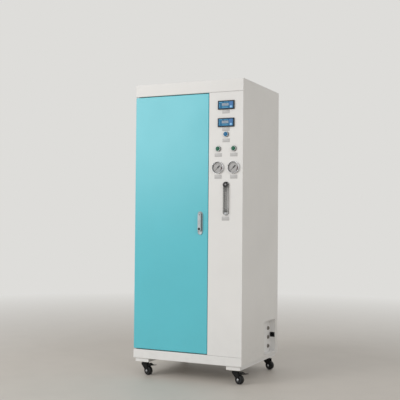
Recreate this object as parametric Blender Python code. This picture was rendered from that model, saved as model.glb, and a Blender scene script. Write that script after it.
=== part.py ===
"""Deionized water purifier: a folded-steel cabinet on four swivel casters.

A door on the left opens on the filters, tanks and pump. A fixed strip on the right carries the
meters, pushbuttons, pressure gauges and flow meter. Metres, +Z up, the front towards -Y.

Inside the functions, x runs from the cabinet's left side, y runs back from its front face and
z runs up from its underside. The empty "purifier" carries all of it and stands it on the floor,
with the middle of the space that it takes up over the origin.
"""
import math

import bmesh
import bpy
from mathutils import Matrix, Vector

# Sheet metal and fits
sheet = 0.0015
bend_radius = 0.0022
seat_gap = 0.0003
running_gap = 0.0003
overrun = 0.004
weld_distance = 0.000001

# Cabinet
cabinet_width = 0.660
cabinet_depth = 0.570
cabinet_height = 1.550
header_height = 0.069
plinth_height = 0.0495
closing_depth = 0.0255
closing_lip = 0.026
stile_width = 0.022
rear_flange = 0.016
panel_seam = 0.0008
panel_width = 0.2014
instruments_from_side = 0.0985

# Louvres in the back panel
louvre_length = 0.140
louvre_height = 0.007
louvre_pitch = 0.016
louvre_rows = 7
louvre_spread = 0.300
louvre_top_drop = 0.120

# Door, its seal and its hinge pins
door_inset = 0.0009
door_depth = 0.020
door_top_gap = 0.0045
door_bottom_gap = 0.0055
door_side_gap = 0.0022
door_return = 0.024
seal_inset = 0.013
seal_width = 0.008
hinge_x = 0.012
hinge_y = 0.010
hinge_pin_radius = 0.004
hinge_pin_engagement = 0.008
hinge_collar_radius = 0.0065

# Mullion between the door and the instrument panel
mullion_lap = 0.0184
mullion_width = 0.040
mullion_flange = 0.010

# Door lock
lock_from_edge = 0.0447
lock_bottom = 0.703
escutcheon_width = 0.0285
escutcheon_height = 0.1275
escutcheon_thickness = 0.004
scoop_depth = 0.0025
scoop_width = 0.017
scoop_height = 0.015
spindle_radius = 0.006
spindle_head_radius = 0.0095
spindle_head_thickness = 0.002
tongue_width = 0.006
tongue_radius = 0.0038
lever_pin_radius = 0.0015
lever_thickness = 0.009
lever_width = 0.018
lever_length = 0.097
lever_end_radius = 0.0105
lever_slot_drop = 0.0065
key_radius = 0.007
key_above_end = 0.0105
key_proud = 0.0008
key_slot_width = 0.0016
key_slot_length = 0.008
key_slot_depth = 0.004
cam_thickness = 0.003
cam_width = 0.016
cam_reach = 0.033
cam_clearance = 0.002

# Panel meters
meter_drop = 0.049
meter_room = 0.047
meter_width = 0.096
meter_height = 0.048
meter_proud = 0.007
meter_rim = 0.005
meter_face_recess = 0.0012
meter_body_width = 0.0905
meter_body_height = 0.0435
meter_body_depth = 0.070
meter_bevel = 0.0012
meter_key_width = 0.015
meter_key_height = 0.012
meter_key_side = 0.030
meter_key_drop = 0.0105
meter_key_proud = 0.0007
meter_key_thickness = 0.0022
meter_key_travel = 0.0008
meter_key_play = 0.0004

# Illuminated pushbuttons
blue_button_room = 0.025
green_button_room = 0.048
green_button_side_room = 0.0615
bezel_radius = 0.015
bezel_proud = 0.0055
bezel_floor = 0.0005
barrel_radius = 0.011
barrel_length = 0.028
cap_radius = 0.0122
cap_proud = 0.0115
cap_thickness = 0.0068
cap_edge = 0.0015
cap_travel = 0.0035
stem_radius = 0.0045
stem_length = 0.012
contact_block_width = 0.028
contact_block_height = 0.034
contact_block_depth = 0.022

# Pressure gauges
gauge_room = 0.0535
gauge_side_room = 0.024
gauge_radius = 0.034
gauge_proud = 0.012
gauge_flange = 0.003
gauge_lip = 0.0012
gauge_ring_wall = 0.0030
gauge_ring_step = 0.0012
gauge_case_radius = 0.030
gauge_case_depth = 0.028
gauge_case_wall = 0.002
dial_depth = 0.0035
gauge_glass_thickness = 0.0015
gauge_stem_radius = 0.0065
gauge_stem_length = 0.022
gauge_nut_radius = 0.011
gauge_nut_length = 0.009
needle_pin_radius = 0.0009
needle_hub_radius = 0.0038
needle_thickness = 0.0008
needle_length = 0.0225
needle_tail = 0.0115
needle_root_width = 0.0026
needle_tip_width = 0.0007
needle_tail_width = 0.0036
needle_rest_turn = math.radians(225)

# Flow meter
flow_room = 0.0425
flow_off_centre = 0.0025
flow_width = 0.034
flow_height = 0.182
flow_depth = 0.030
flow_proud = 0.012
flow_corner = 0.016
flow_bore_bottom_radius = 0.0070
flow_bore_top_radius = 0.0088
flow_bore_end = 0.028
flow_port_inset = 0.007
flow_port_radius = 0.004
flow_stub_radius = 0.0085
flow_stub_length = 0.022
float_radius = 0.0062
float_height = 0.015

# Connection bay low in the right side
bay_from_rear = 0.0375
bay_length = 0.184
bay_bottom = 0.0113
bay_height = 0.1907
bay_depth = 0.033
bay_flange = 0.009
port_from_rear = 0.034
port_lowest = 0.032
port_pitch = 0.0525
port_thread_radius = 0.0082
port_thread_length = 0.020
port_nut_radius = 0.0125
port_nut_length = 0.005
port_body_radius = 0.0095
port_body_length = 0.0025
port_collet_radius = 0.0068
port_collet_length = 0.0015
port_bore_radius = 0.0033
port_bore_depth = 0.016
inlet_rise = 0.096
inlet_width = 0.029
inlet_height = 0.028
inlet_rim = 0.002
inlet_body_width = 0.025
inlet_body_height = 0.024
inlet_body_depth = 0.020
inlet_socket_wall = 0.0022
inlet_socket_depth = 0.016
inlet_pin_width = 0.002
inlet_pin_height = 0.004
inlet_pin_length = 0.011
inlet_pin_spread = 0.012
inlet_pin_step = 0.004

# Caster rails
rail_width = 0.082
rail_inset = 0.010
rail_setback = 0.008
rail_height = 0.021
rail_wall = 0.002
caster_plate = 0.060
caster_plate_thickness = 0.003
caster_plate_corner = 0.006
caster_plate_setback = 0.010
race_radius = 0.0135
race_height = 0.002

# Swivel casters, measured from the swivel axis
caster_height = 0.077
caster_turn = math.radians(-15)
caster_trail = 0.025
wheel_radius = 0.025
wheel_width = 0.022
wheel_shoulder = 0.0030
wheel_rim_depth = 0.006
wheel_web_width = 0.010
wheel_hub_radius = 0.009
wheel_hub_play = 0.0006
axle_radius = 0.004
fork_gap = 0.0245
fork_wall = 0.0025
fork_crown_radius = 0.021
fork_crown_height = 0.008
fork_crown_chamfer = 0.003
fork_bridge_thickness = 0.003
fork_leg_front = 0.028
fork_leg_back = 0.016
fork_leg_end_radius = 0.008
kingpin_nut_radius = 0.0075
kingpin_nut_height = 0.002
axle_head_radius = 0.0062
axle_head_height = 0.0035

# Brake pedals of the front casters
pedal_pivot_x = 0.013
pedal_pivot_drop = 0.0196
pedal_pin_radius = 0.0018
pedal_boss_radius = 0.0028
pedal_width = 0.022
pedal_thickness = 0.0025
pedal_dip_x = 0.030
pedal_dip_drop = 0.0222
pedal_crest_back = 0.0305
pedal_crest_front = 0.040
pedal_crest_drop = 0.0095
pedal_pad_x = 0.058
pedal_pad_drop = 0.0190
pedal_reach = 0.077
pedal_tip_drop = 0.0155
pedal_rib_height = 0.0010
pedal_rib_width = 0.0012
pedal_ribs = 3

# Cartridge pre-filters and their bracket
bracket_left = 0.032
bracket_end_room = 0.010
bracket_drop = 0.220
bracket_upright = 0.050
bracket_shelf = 0.134
bracket_sheet = 0.002
prefilter_room = 0.015
prefilter_rear_room = 0.0142
prefilter_head_radius = 0.056
prefilter_head_height = 0.055
prefilter_head_chamfer = 0.008
prefilter_collar_radius = 0.060
prefilter_collar_groove = 0.0025
prefilter_collar_height = 0.022
prefilter_collar_ribs = 12
prefilter_bowl_radius = 0.051
prefilter_bowl_foot_radius = 0.046
prefilter_bowl_length = 0.225
prefilter_bowl_dome = 0.012
prefilter_nipple_radius = 0.013

# Membrane vessel
vessel_side_room = 0.0362
vessel_lead = 0.036
vessel_radius = 0.0508
vessel_top_room = 0.1142
vessel_cap_radius = 0.058
vessel_cap_height = 0.036
vessel_clamp_radius = 0.062
vessel_clamp_height = 0.014
vessel_port_radius = 0.010
vessel_port_height = 0.022

# Resin tanks
tank_side_room = 0.0162
tank_room = 0.014
tank_rear_room = 0.0242
tank_radius = 0.1025
tank_top_room = 0.1119
tank_dome = 0.060
tank_foot_lap = 0.0015
tank_foot_height = 0.050
tank_neck_radius = 0.036
tank_neck_height = 0.020
tank_head_radius = 0.046
tank_head_height = 0.052
tank_head_chamfer = 0.008

# Booster pump
pump_side_room = 0.1182
pump_room = 0.078
pump_lift = 0.027
pump_motor_radius = 0.052
pump_motor_length = 0.150
pump_fin_depth = 0.004
pump_fins = 5
pump_head_radius = 0.058
pump_head_length = 0.060
pump_collar_radius = 0.048
pump_collar_length = 0.012
pump_foot_length = 0.170
pump_foot_width = 0.110
pump_foot_thickness = 0.006
pump_saddle_width = 0.070
pump_saddle_length = 0.120
pump_port_radius = 0.011
pump_port_height = 0.022

# Control box
box_width = 0.150
box_height = 0.260
box_depth = 0.100
box_drop = 0.360
box_lid = 0.012
box_lid_overhang = 0.003
box_bevel = 0.003
box_gland_radius = 0.009
box_gland_length = 0.014
box_glands = 3

# Facets of round pieces
fine_steps = 24
round_steps = 20
small_steps = 12
tiny_steps = 8
bend_steps = 2
corner_steps = 3

# Places that follow from the sizes above
clear = sheet + seat_gap
header_bottom = cabinet_height - header_height
back_face = cabinet_depth - clear
panel_left = cabinet_width - panel_width
panel_middle = cabinet_width - instruments_from_side
door_right = panel_left - door_side_gap
door_bottom = plinth_height + door_bottom_gap
door_top = header_bottom - door_top_gap
mullion_x = door_right - mullion_lap
lock_x = door_right - lock_from_edge
flow_axis_y = flow_depth / 2 - flow_proud
ground_clearance = rail_height + caster_height
lever_axis_z = lock_bottom + escutcheon_height - escutcheon_width / 2
lever_axis_y = -(escutcheon_thickness + 3 * seat_gap + spindle_head_thickness + lever_thickness / 2)
bay_rear = cabinet_depth - bay_from_rear
bay_front = bay_rear - bay_length
bay_floor = cabinet_width - clear - bay_depth
wheel_drop = caster_height - wheel_radius

# Places of what stands or hangs inside the cabinet
prefilter_pitch = 2 * prefilter_collar_radius + prefilter_room
prefilter_first_x = bracket_left + bracket_end_room + prefilter_collar_radius
prefilter_y = back_face - prefilter_rear_room - prefilter_collar_radius
bracket_length = 2 * (bracket_end_room + prefilter_collar_radius + prefilter_pitch)
bracket_rise = cabinet_height - bracket_drop
prefilter_top = bracket_rise + bracket_upright - bracket_sheet
prefilter_length = (seat_gap + prefilter_head_height + prefilter_collar_height
                    + prefilter_bowl_length)
tank_foot_radius = tank_radius + tank_foot_lap
tank_first_x = clear + tank_side_room + tank_foot_radius
tank_pitch = 2 * tank_foot_radius + tank_room
tank_y = back_face - tank_rear_room - tank_foot_radius
tank_height = (prefilter_top - prefilter_length - tank_top_room - tank_head_height
               - tank_neck_height - clear)
box_rise = cabinet_height - box_drop
vessel_x = cabinet_width - clear - vessel_side_room - vessel_clamp_radius
vessel_y = tank_y - tank_foot_radius - vessel_lead
vessel_height = box_rise - box_gland_length - vessel_top_room - clear
pump_x = clear + pump_side_room
pump_y = tank_y - tank_foot_radius - pump_room - pump_head_radius
pump_axis_rise = pump_head_radius + pump_lift

facing_back = Matrix.Rotation(math.radians(-90), 4, "X")
facing_right = Matrix.Rotation(math.radians(90), 4, "Y")


def linear(red, green, blue):
    """Turns a colour seen in the photograph, 0 to 255, into Blender's linear values."""
    def channel(value):
        share = value / 255
        if share <= 0.04045:
            return share / 12.92
        return ((share + 0.055) / 1.055) ** 2.4
    return channel(red), channel(green), channel(blue), 1.0


def finish(name, colour, roughness, metallic=0.0, alpha=1.0):
    """Makes one material with a Principled shader."""
    material = bpy.data.materials.new(name)
    material.use_nodes = True
    shader = material.node_tree.nodes["Principled BSDF"]
    shader.inputs["Base Color"].default_value = linear(*colour)
    shader.inputs["Roughness"].default_value = roughness
    shader.inputs["Metallic"].default_value = metallic
    shader.inputs["Alpha"].default_value = alpha
    return material


def prism(outline, reach):
    """Sweeps a flat outline of 3D points along one vector into a closed solid."""
    shape = bmesh.new()
    face = shape.faces.new([shape.verts.new(point) for point in outline])
    swept = bmesh.ops.extrude_face_region(shape, geom=[face])["geom"]
    moved = [item for item in swept if isinstance(item, bmesh.types.BMVert)]
    bmesh.ops.translate(shape, verts=moved, vec=reach)
    bmesh.ops.recalc_face_normals(shape, faces=shape.faces)
    return shape


def block(low, high):
    """Makes a box between two corners."""
    outline = ((low[0], low[1], low[2]), (high[0], low[1], low[2]),
               (high[0], high[1], low[2]), (low[0], high[1], low[2]))
    return prism(outline, (0, 0, high[2] - low[2]))


def turned(profile, steps, ring=False):
    """Turns a profile of (radius, height) pairs about the Z axis into a closed solid."""
    shape = bmesh.new()
    points = [shape.verts.new((radius, 0, height)) for radius, height in profile]
    lines = [shape.edges.new(pair) for pair in zip(points, points[1:])]
    if ring:
        lines.append(shape.edges.new((points[-1], points[0])))
    bmesh.ops.spin(shape, geom=points + lines, axis=(0, 0, 1), cent=(0, 0, 0),
                   steps=steps, angle=math.tau)
    bmesh.ops.remove_doubles(shape, verts=shape.verts, dist=weld_distance)
    bmesh.ops.recalc_face_normals(shape, faces=shape.faces)
    return shape


def rod(radius, low, high, steps):
    """Makes a round bar along Z between two heights."""
    return turned(((0, low), (radius, low), (radius, high), (0, high)), steps)


def hexagon(radius, low, high):
    """Makes a six-sided nut body along Z, measured to its corners."""
    corners = [(radius * math.cos(turn), radius * math.sin(turn), low)
               for turn in (math.tau * side / 6 for side in range(6))]
    return prism(corners, (0, 0, high - low))


def moved(shape, *offset, turn=None):
    """Turns a shape by a matrix, if one is given, and then shifts it."""
    if turn is not None:
        bmesh.ops.transform(shape, matrix=turn, verts=shape.verts)
    bmesh.ops.translate(shape, verts=shape.verts, vec=offset or (0, 0, 0))
    return shape


def softened(shape, width, edges=None, steps=2):
    """Rounds the chosen edges of a shape, or all of its sharp ones."""
    chosen = edges or [edge for edge in shape.edges if edge.calc_face_angle(0) > math.radians(30)]
    bmesh.ops.bevel(shape, geom=chosen, offset=width, segments=steps, affect="EDGES",
                    profile=0.5, clamp_overlap=True)
    return shape


def as_mesh(shape, name):
    """Writes a shape into a new mesh and frees it."""
    mesh = bpy.data.meshes.new(name)
    shape.to_mesh(mesh)
    shape.free()
    return mesh


def combined(base, *changes):
    """Joins solids to a base shape or cuts them from it, one after the other."""
    helpers = [bpy.data.objects.new("base", as_mesh(base, "base"))]
    bpy.context.collection.objects.link(helpers[0])
    for operation, tool in changes:
        helper = bpy.data.objects.new("tool", as_mesh(tool, "tool"))
        bpy.context.collection.objects.link(helper)
        helpers.append(helper)
        modifier = helpers[0].modifiers.new(operation, "BOOLEAN")
        modifier.operation = operation
        modifier.object = helper
    graph = bpy.context.evaluated_depsgraph_get()
    result = bmesh.new()
    result.from_mesh(helpers[0].evaluated_get(graph).to_mesh())
    for helper in helpers:
        bpy.data.objects.remove(helper)
    bmesh.ops.remove_doubles(result, verts=result.verts, dist=weld_distance)
    return result


def join(tool):
    """Names a solid that combined() joins to its base."""
    return "UNION", tool


def cut(tool):
    """Names a solid that combined() cuts from its base."""
    return "DIFFERENCE", tool


def bent(path, across):
    """Extrudes a folded sheet: its middle line in one plane, and the vector across that plane."""
    middle = []
    for index, corner in enumerate(path):
        if index in (0, len(path) - 1):
            middle.append(corner)
            continue
        before = (path[index - 1] - corner).normalized()
        after = (path[index + 1] - corner).normalized()
        half = before.angle(after) / 2
        centre = corner + (before + after).normalized() * bend_radius / math.sin(half)
        start = (corner + before * bend_radius / math.tan(half) - centre).normalized()
        end = (corner + after * bend_radius / math.tan(half) - centre).normalized()
        for step in range(bend_steps + 1):
            middle.append(centre + start.slerp(end, step / bend_steps) * bend_radius)
    plane = Vector(across).normalized()
    near, far = [], []
    for index, point in enumerate(middle):
        legs = []
        if index > 0:
            legs.append((point - middle[index - 1]).normalized().cross(plane))
        if index < len(middle) - 1:
            legs.append((middle[index + 1] - point).normalized().cross(plane))
        side = sum(legs, Vector()).normalized()
        offset = side * sheet / 2 / side.dot(legs[0])
        near.append(point + offset)
        far.append(point - offset)
    return prism(near + far[::-1], across)


def rounded_outline(width, height, radius, steps=corner_steps):
    """Gives the corners of a rounded rectangle in X and Z, centred on zero."""
    points = []
    for corner in range(4):
        turn = corner * math.tau / 4
        sign_x = 1 if corner in (0, 3) else -1
        sign_z = 1 if corner in (0, 1) else -1
        for step in range(steps + 1):
            angle = turn + step / steps * math.tau / 4
            point = Vector((sign_x * (width / 2 - radius) + radius * math.cos(angle), 0,
                            sign_z * (height / 2 - radius) + radius * math.sin(angle)))
            if all((point - other).length > weld_distance for other in points[-1:] + points[:1]):
                points.append(point)
    return points


def empty(name, parent, *place, turn=0):
    """Adds an empty that marks a joint axis and carries the pieces that move with it."""
    marker = bpy.data.objects.new(name, None)
    marker.empty_display_size = bezel_radius
    marker.location = place
    marker.rotation_euler = (0, 0, turn)
    marker.parent = parent
    bpy.context.collection.objects.link(marker)
    return marker


def piece(name, shape, material, parent, *place):
    """Adds one sub-part as an object with its own material, shaded smooth between sharp edges."""
    mesh = shape if isinstance(shape, bpy.types.Mesh) else as_mesh(shape, name)
    if not mesh.materials:
        mesh.materials.append(material)
        mesh.shade_smooth()
        mesh.set_sharp_from_angle(angle=math.radians(32))
    thing = bpy.data.objects.new(name, mesh)
    thing.parent = parent
    thing.location = place or (0, 0, 0)
    bpy.context.collection.objects.link(thing)
    return thing


def top_cover():
    """Folds the top plate, the header and the lip that the door closes on."""
    half = sheet / 2
    path = [Vector((0, closing_depth + half, header_bottom - closing_lip)),
            Vector((0, closing_depth + half, header_bottom + half)),
            Vector((0, half, header_bottom + half)),
            Vector((0, half, cabinet_height - half)),
            Vector((0, back_face, cabinet_height - half))]
    low = header_bottom - closing_lip - overrun
    high = cabinet_height - clear
    deep = closing_depth + sheet + overrun
    left = block((-overrun, clear, low), (clear, cabinet_depth, high))
    right = block((cabinet_width - clear, clear, low), (cabinet_width + overrun, cabinet_depth, high))
    past_door = block((mullion_x - seat_gap, closing_depth - seat_gap, low),
                      (cabinet_width, deep, header_bottom))
    return combined(bent(path, (cabinet_width, 0, 0)), cut(left), cut(right), cut(past_door))


def base_tray():
    """Folds the floor plate, the plinth and the lip that the door closes on."""
    half = sheet / 2
    path = [Vector((0, closing_depth + half, plinth_height + closing_lip)),
            Vector((0, closing_depth + half, plinth_height - half)),
            Vector((0, half, plinth_height - half)),
            Vector((0, half, half)),
            Vector((0, back_face, half))]
    high = plinth_height + closing_lip + overrun
    deep = closing_depth + sheet + overrun
    left = block((-overrun, clear, clear), (clear, cabinet_depth, high))
    right = block((cabinet_width - clear, clear, clear), (cabinet_width + overrun, cabinet_depth, high))
    past_door = block((mullion_x - seat_gap, closing_depth - seat_gap, plinth_height),
                      (cabinet_width, deep, high))
    return combined(bent(path, (cabinet_width, 0, 0)), cut(left), cut(right), cut(past_door))


def left_side_panel():
    """Cuts the left side to clear the door and folds its front stile and rear flange."""
    low, high = clear, cabinet_height - clear
    outline = ((0, clear, low), (0, back_face, low), (0, back_face, high), (0, clear, high),
               (0, clear, header_bottom), (0, closing_depth, header_bottom),
               (0, closing_depth, plinth_height), (0, clear, plinth_height))
    stile = block((0, closing_depth, plinth_height + closing_lip + seat_gap),
                  (stile_width, closing_depth + sheet, header_bottom - closing_lip - seat_gap))
    flange = block((0, back_face - sheet, low), (rear_flange, back_face, high))
    return combined(prism(outline, (sheet, 0, 0)), join(stile), join(flange))


def right_side_panel():
    """Folds the right side's front and rear flanges and cuts the opening of the connection bay."""
    low, high = clear, cabinet_height - clear
    inner = cabinet_width - sheet
    plate = block((inner, clear, low), (cabinet_width, back_face, high))
    front = block((cabinet_width - stile_width, clear, plinth_height + seat_gap),
                  (cabinet_width, clear + sheet, header_bottom - seat_gap))
    rear = block((cabinet_width - rear_flange, back_face - sheet, low),
                 (cabinet_width, back_face, high))
    opening = block((inner - overrun, bay_front, bay_bottom),
                    (cabinet_width + overrun, bay_rear, bay_bottom + bay_height))
    return combined(plate, join(front), join(rear), cut(opening))


def back_panel():
    """Cuts two banks of ventilation slots through the back plate."""
    plate = block((0, cabinet_depth - sheet, 0), (cabinet_width, cabinet_depth, cabinet_height))
    slots = []
    for side in (-1, 1):
        for row in range(louvre_rows):
            outline = rounded_outline(louvre_length, louvre_height, louvre_height / 2, steps=2)
            slot = prism(outline, (0, sheet + 2 * overrun, 0))
            x = cabinet_width / 2 + side * louvre_spread / 2
            z = cabinet_height - louvre_top_drop - row * louvre_pitch
            slots.append(cut(moved(slot, x, cabinet_depth - sheet - overrun, z)))
    return combined(plate, *slots)


def mullion():
    """Folds the upright that the door closes on and the instrument panel is backed by."""
    half = sheet / 2
    right = mullion_x + mullion_width - half
    low = plinth_height + seat_gap
    path = [Vector((mullion_x, closing_depth + half, low)),
            Vector((right, closing_depth + half, low)),
            Vector((right, closing_depth + mullion_flange, low))]
    return bent(path, (0, 0, header_bottom - seat_gap - low))


def instrument_places():
    """Gives the middle of each meter, button and gauge on the instrument panel, by name."""
    upper_meter_z = header_bottom - meter_drop - meter_height / 2
    lower_meter_z = upper_meter_z - meter_height - meter_room
    blue_z = lower_meter_z - meter_height / 2 - blue_button_room - bezel_radius
    green_z = blue_z - 2 * bezel_radius - green_button_room
    gauge_z = green_z - bezel_radius - gauge_room - gauge_radius
    flow_z = gauge_z - gauge_radius - flow_room - flow_height / 2
    green_side = bezel_radius + green_button_side_room / 2
    gauge_side = gauge_radius + gauge_side_room / 2
    return {
        "upper_meter": (panel_middle, upper_meter_z),
        "lower_meter": (panel_middle, lower_meter_z),
        "blue_button": (panel_middle, blue_z),
        "left_green_button": (panel_middle - green_side, green_z),
        "right_green_button": (panel_middle + green_side, green_z),
        "left_gauge": (panel_middle - gauge_side, gauge_z),
        "right_gauge": (panel_middle + gauge_side, gauge_z),
        "flow_meter": (panel_middle + flow_off_centre, flow_z),
    }


def instrument_panel():
    """Folds the white strip beside the door and cuts it for its instruments."""
    half = sheet / 2
    low = plinth_height + panel_seam
    high = header_bottom - panel_seam
    path = [Vector((panel_left + half, closing_depth - seat_gap, low)),
            Vector((panel_left + half, half, low)),
            Vector((cabinet_width, half, low))]
    cuts = []
    for name, (x, z) in instrument_places().items():
        if name.endswith("meter") and not name.startswith("flow"):
            wide, tall = meter_body_width / 2 + running_gap, meter_body_height / 2 + running_gap
            cuts.append(block((x - wide, -overrun, z - tall), (x + wide, sheet + overrun, z + tall)))
        elif name.endswith("button"):
            cuts.append(panel_drill(barrel_radius, x, z, round_steps))
        elif name.endswith("gauge"):
            cuts.append(panel_drill(gauge_case_radius, x, z, fine_steps))
        else:
            outline = rounded_outline(flow_width + 2 * running_gap, flow_height + 2 * running_gap,
                                      flow_corner + running_gap)
            slot = prism(outline, (0, sheet + 2 * overrun, 0))
            cuts.append(moved(slot, x, -overrun, z))
    return combined(bent(path, (0, 0, high - low)), *[cut(tool) for tool in cuts])


def panel_drill(radius, x, z, steps):
    """Makes the cutter of a round hole that a part of that radius passes through."""
    tool = rod(radius + running_gap, -overrun, sheet + overrun, steps)
    return moved(tool, x, 0, z, turn=facing_back)


def caster_rail():
    """Makes one rail, a tray turned upside down, with its two caster plates and races."""
    length = cabinet_depth - 2 * rail_setback
    low = -rail_height
    tray = block((0, 0, low), (rail_width, length, -seat_gap))
    edges = [edge for edge in tray.edges if all(vert.co.z < low / 2 for vert in edge.verts)]
    softened(tray, rail_wall, edges)
    hollow = block((rail_wall, rail_wall, low + rail_wall),
                   (rail_width - rail_wall, length - rail_wall, overrun))
    additions = []
    for y in rail_pivots():
        outline = rounded_outline(caster_plate, caster_plate, caster_plate_corner)
        plate = prism(outline, (0, caster_plate_thickness + rail_wall / 2, 0))
        moved(plate, rail_width / 2, y, low - caster_plate_thickness,
              turn=Matrix.Rotation(math.radians(90), 4, "X"))
        race = rod(race_radius, low - caster_plate_thickness - race_height, low, small_steps)
        additions += [join(plate), join(moved(race, rail_width / 2, y, 0))]
    return combined(tray, cut(hollow), *additions)


def rail_pivots():
    """Gives how far back along a rail its two swivel axes lie."""
    first = caster_plate_setback + caster_plate / 2
    return first, cabinet_depth - 2 * rail_setback - first


def door_panel():
    """Folds the door pan, with its hinge holes and the hole of the lock's spindle."""
    outer = block((door_inset, 0, door_bottom), (door_right, door_depth, door_top))
    bevelled = [edge for edge in outer.edges if any(vert.co.y < door_depth / 2 for vert in edge.verts)]
    softened(outer, bend_radius, bevelled)
    hollow = block((door_inset + sheet, sheet, door_bottom + sheet),
                   (door_right - sheet, door_depth - sheet, door_top - sheet))
    mouth = block((door_inset + door_return, sheet, door_bottom + door_return),
                  (door_right - door_return, door_depth + overrun, door_top - door_return))
    hinge_hole = hinge_pin_radius + running_gap
    pins = rod(hinge_hole, door_bottom - overrun, door_top + overrun, round_steps)
    spindle = rod(spindle_radius + running_gap, -overrun, sheet + overrun, small_steps)
    moved(spindle, lock_x, 0, lever_axis_z, turn=facing_back)
    return combined(outer, cut(hollow), cut(mouth), cut(moved(pins, hinge_x, hinge_y, 0)),
                    cut(spindle))


def door_seal():
    """Makes the soft frame on the door's folded edge that meets the cabinet when it shuts."""
    near, far = door_depth + seat_gap, closing_depth - seat_gap
    low = (door_inset + seal_inset, near, door_bottom + seal_inset)
    high = (door_right - seal_inset, far, door_top - seal_inset)
    inner_low = (low[0] + seal_width, near - overrun, low[2] + seal_width)
    inner_high = (high[0] - seal_width, far + overrun, high[2] - seal_width)
    return combined(block(low, high), cut(block(inner_low, inner_high)))


def hinge_pin(gap):
    """Turns a hinge pin, its stub down into the door and its collar in the gap above it."""
    return turned(((0, -hinge_pin_engagement), (hinge_pin_radius, -hinge_pin_engagement),
                   (hinge_pin_radius, seat_gap), (hinge_collar_radius, seat_gap),
                   (hinge_collar_radius, gap - seat_gap), (0, gap - seat_gap)), round_steps)


def lock_escutcheon():
    """Makes the lock's long plate, with the spindle's bore and the scoop under the lever."""
    outline = rounded_outline(escutcheon_width, escutcheon_height, escutcheon_width / 2, steps=6)
    plate = prism(outline, (0, escutcheon_thickness, 0))
    front = [edge for edge in plate.edges if all(vert.co.y < seat_gap for vert in edge.verts)]
    softened(plate, escutcheon_thickness / 4, front)
    middle_z = lock_bottom + escutcheon_height / 2
    moved(plate, lock_x, -escutcheon_thickness - seat_gap, middle_z)
    bore = rod(spindle_radius + running_gap, -escutcheon_thickness - overrun, overrun, small_steps)
    moved(bore, lock_x, 0, lever_axis_z, turn=facing_back)
    scoop = prism(rounded_outline(scoop_width, scoop_height, scoop_height / 3),
                  (0, scoop_depth + overrun, 0))
    scoop_z = lock_bottom + (escutcheon_width - scoop_width) / 2 + scoop_height / 2
    moved(scoop, lock_x, -escutcheon_thickness - seat_gap - overrun, scoop_z)
    return combined(plate, cut(bore), cut(scoop))


def lock_spindle():
    """Makes the turning spindle: tongue and pin for the lever, head, shaft and latch cam."""
    head_back = -(escutcheon_thickness + 2 * seat_gap)
    head_front = head_back - spindle_head_thickness
    cam_front = closing_depth + sheet + cam_clearance
    shaft = turned(((0, head_front), (spindle_head_radius, head_front),
                    (spindle_head_radius, head_back), (spindle_radius, head_back),
                    (spindle_radius, cam_front + cam_thickness), (0, cam_front + cam_thickness)),
                   round_steps)
    moved(shaft, turn=facing_back)
    side = Matrix.Rotation(math.radians(90), 4, "Y")
    tongue_end = rod(tongue_radius, -tongue_width / 2, tongue_width / 2, small_steps)
    moved(tongue_end, 0, lever_axis_y, 0, turn=side)
    neck = block((-tongue_width / 2, lever_axis_y, -tongue_radius),
                 (tongue_width / 2, head_front + spindle_head_thickness / 2, tongue_radius))
    half_pin = lever_width / 2 - running_gap
    pin = moved(rod(lever_pin_radius, -half_pin, half_pin, tiny_steps), 0, lever_axis_y, 0, turn=side)
    cam_outline = [(cam_width / 2 * math.cos(turn), 0, cam_width / 2 * math.sin(turn))
                   for turn in (math.pi + math.pi * step / 8 for step in range(9))]
    cam_outline += [(cam_width / 2, 0, cam_reach), (-cam_width / 2, 0, cam_reach)]
    cam = moved(prism(cam_outline, (0, cam_thickness, 0)), 0, cam_front, 0)
    return combined(shaft, join(tongue_end), join(neck), join(pin), join(cam))


def lock_lever():
    """Makes the folding lever, slotted for the spindle's tongue and bored for the key cylinder."""
    top = lever_thickness / 2
    round_z = top - lever_length + lever_end_radius
    outline = [(-lever_width / 2, 0, top), (-lever_width / 2, 0, round_z + lever_end_radius)]
    for step in range(13):
        turn = math.pi + math.pi * step / 12
        outline.append((lever_end_radius * math.cos(turn), 0, round_z + lever_end_radius * math.sin(turn)))
    outline += [(lever_width / 2, 0, round_z + lever_end_radius), (lever_width / 2, 0, top)]
    body = moved(prism(outline, (0, lever_thickness, 0)), 0, -lever_thickness / 2, 0)
    front = [edge for edge in body.edges if all(vert.co.y < 0 for vert in edge.verts)]
    softened(body, lever_thickness / 5, front)
    side = Matrix.Rotation(math.radians(90), 4, "Y")
    wide = lever_width + overrun
    round_top = moved(rod(lever_thickness / 2, -wide, wide, small_steps), turn=side)
    square_top = block((-wide, -lever_thickness, 0), (wide, lever_thickness, lever_thickness))
    crown = combined(square_top, cut(round_top))
    slot = block((-tongue_width / 2 - running_gap, -lever_thickness, -lever_slot_drop),
                 (tongue_width / 2 + running_gap, lever_thickness, lever_thickness))
    pin_hole = moved(rod(lever_pin_radius + running_gap, -wide, wide, tiny_steps), turn=side)
    bore = rod(key_radius + running_gap, -lever_thickness, lever_thickness, round_steps)
    moved(bore, 0, 0, key_height(), turn=facing_back)
    return combined(body, cut(crown), cut(slot), cut(pin_hole), cut(bore))


def key_height():
    """Gives how far the key cylinder's axis lies below the lever's hinge, as a negative height."""
    return lever_thickness / 2 - lever_length + key_above_end


def key_cylinder():
    """Turns the key cylinder and cuts its key slot."""
    front = -lever_thickness / 2 - key_proud
    barrel = moved(rod(key_radius, front, lever_thickness / 2 - seat_gap, round_steps), turn=facing_back)
    slot = block((-key_slot_width / 2, front - overrun, -key_slot_length / 2),
                 (key_slot_width / 2, front + key_slot_depth, key_slot_length / 2))
    return combined(barrel, cut(slot))


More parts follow.
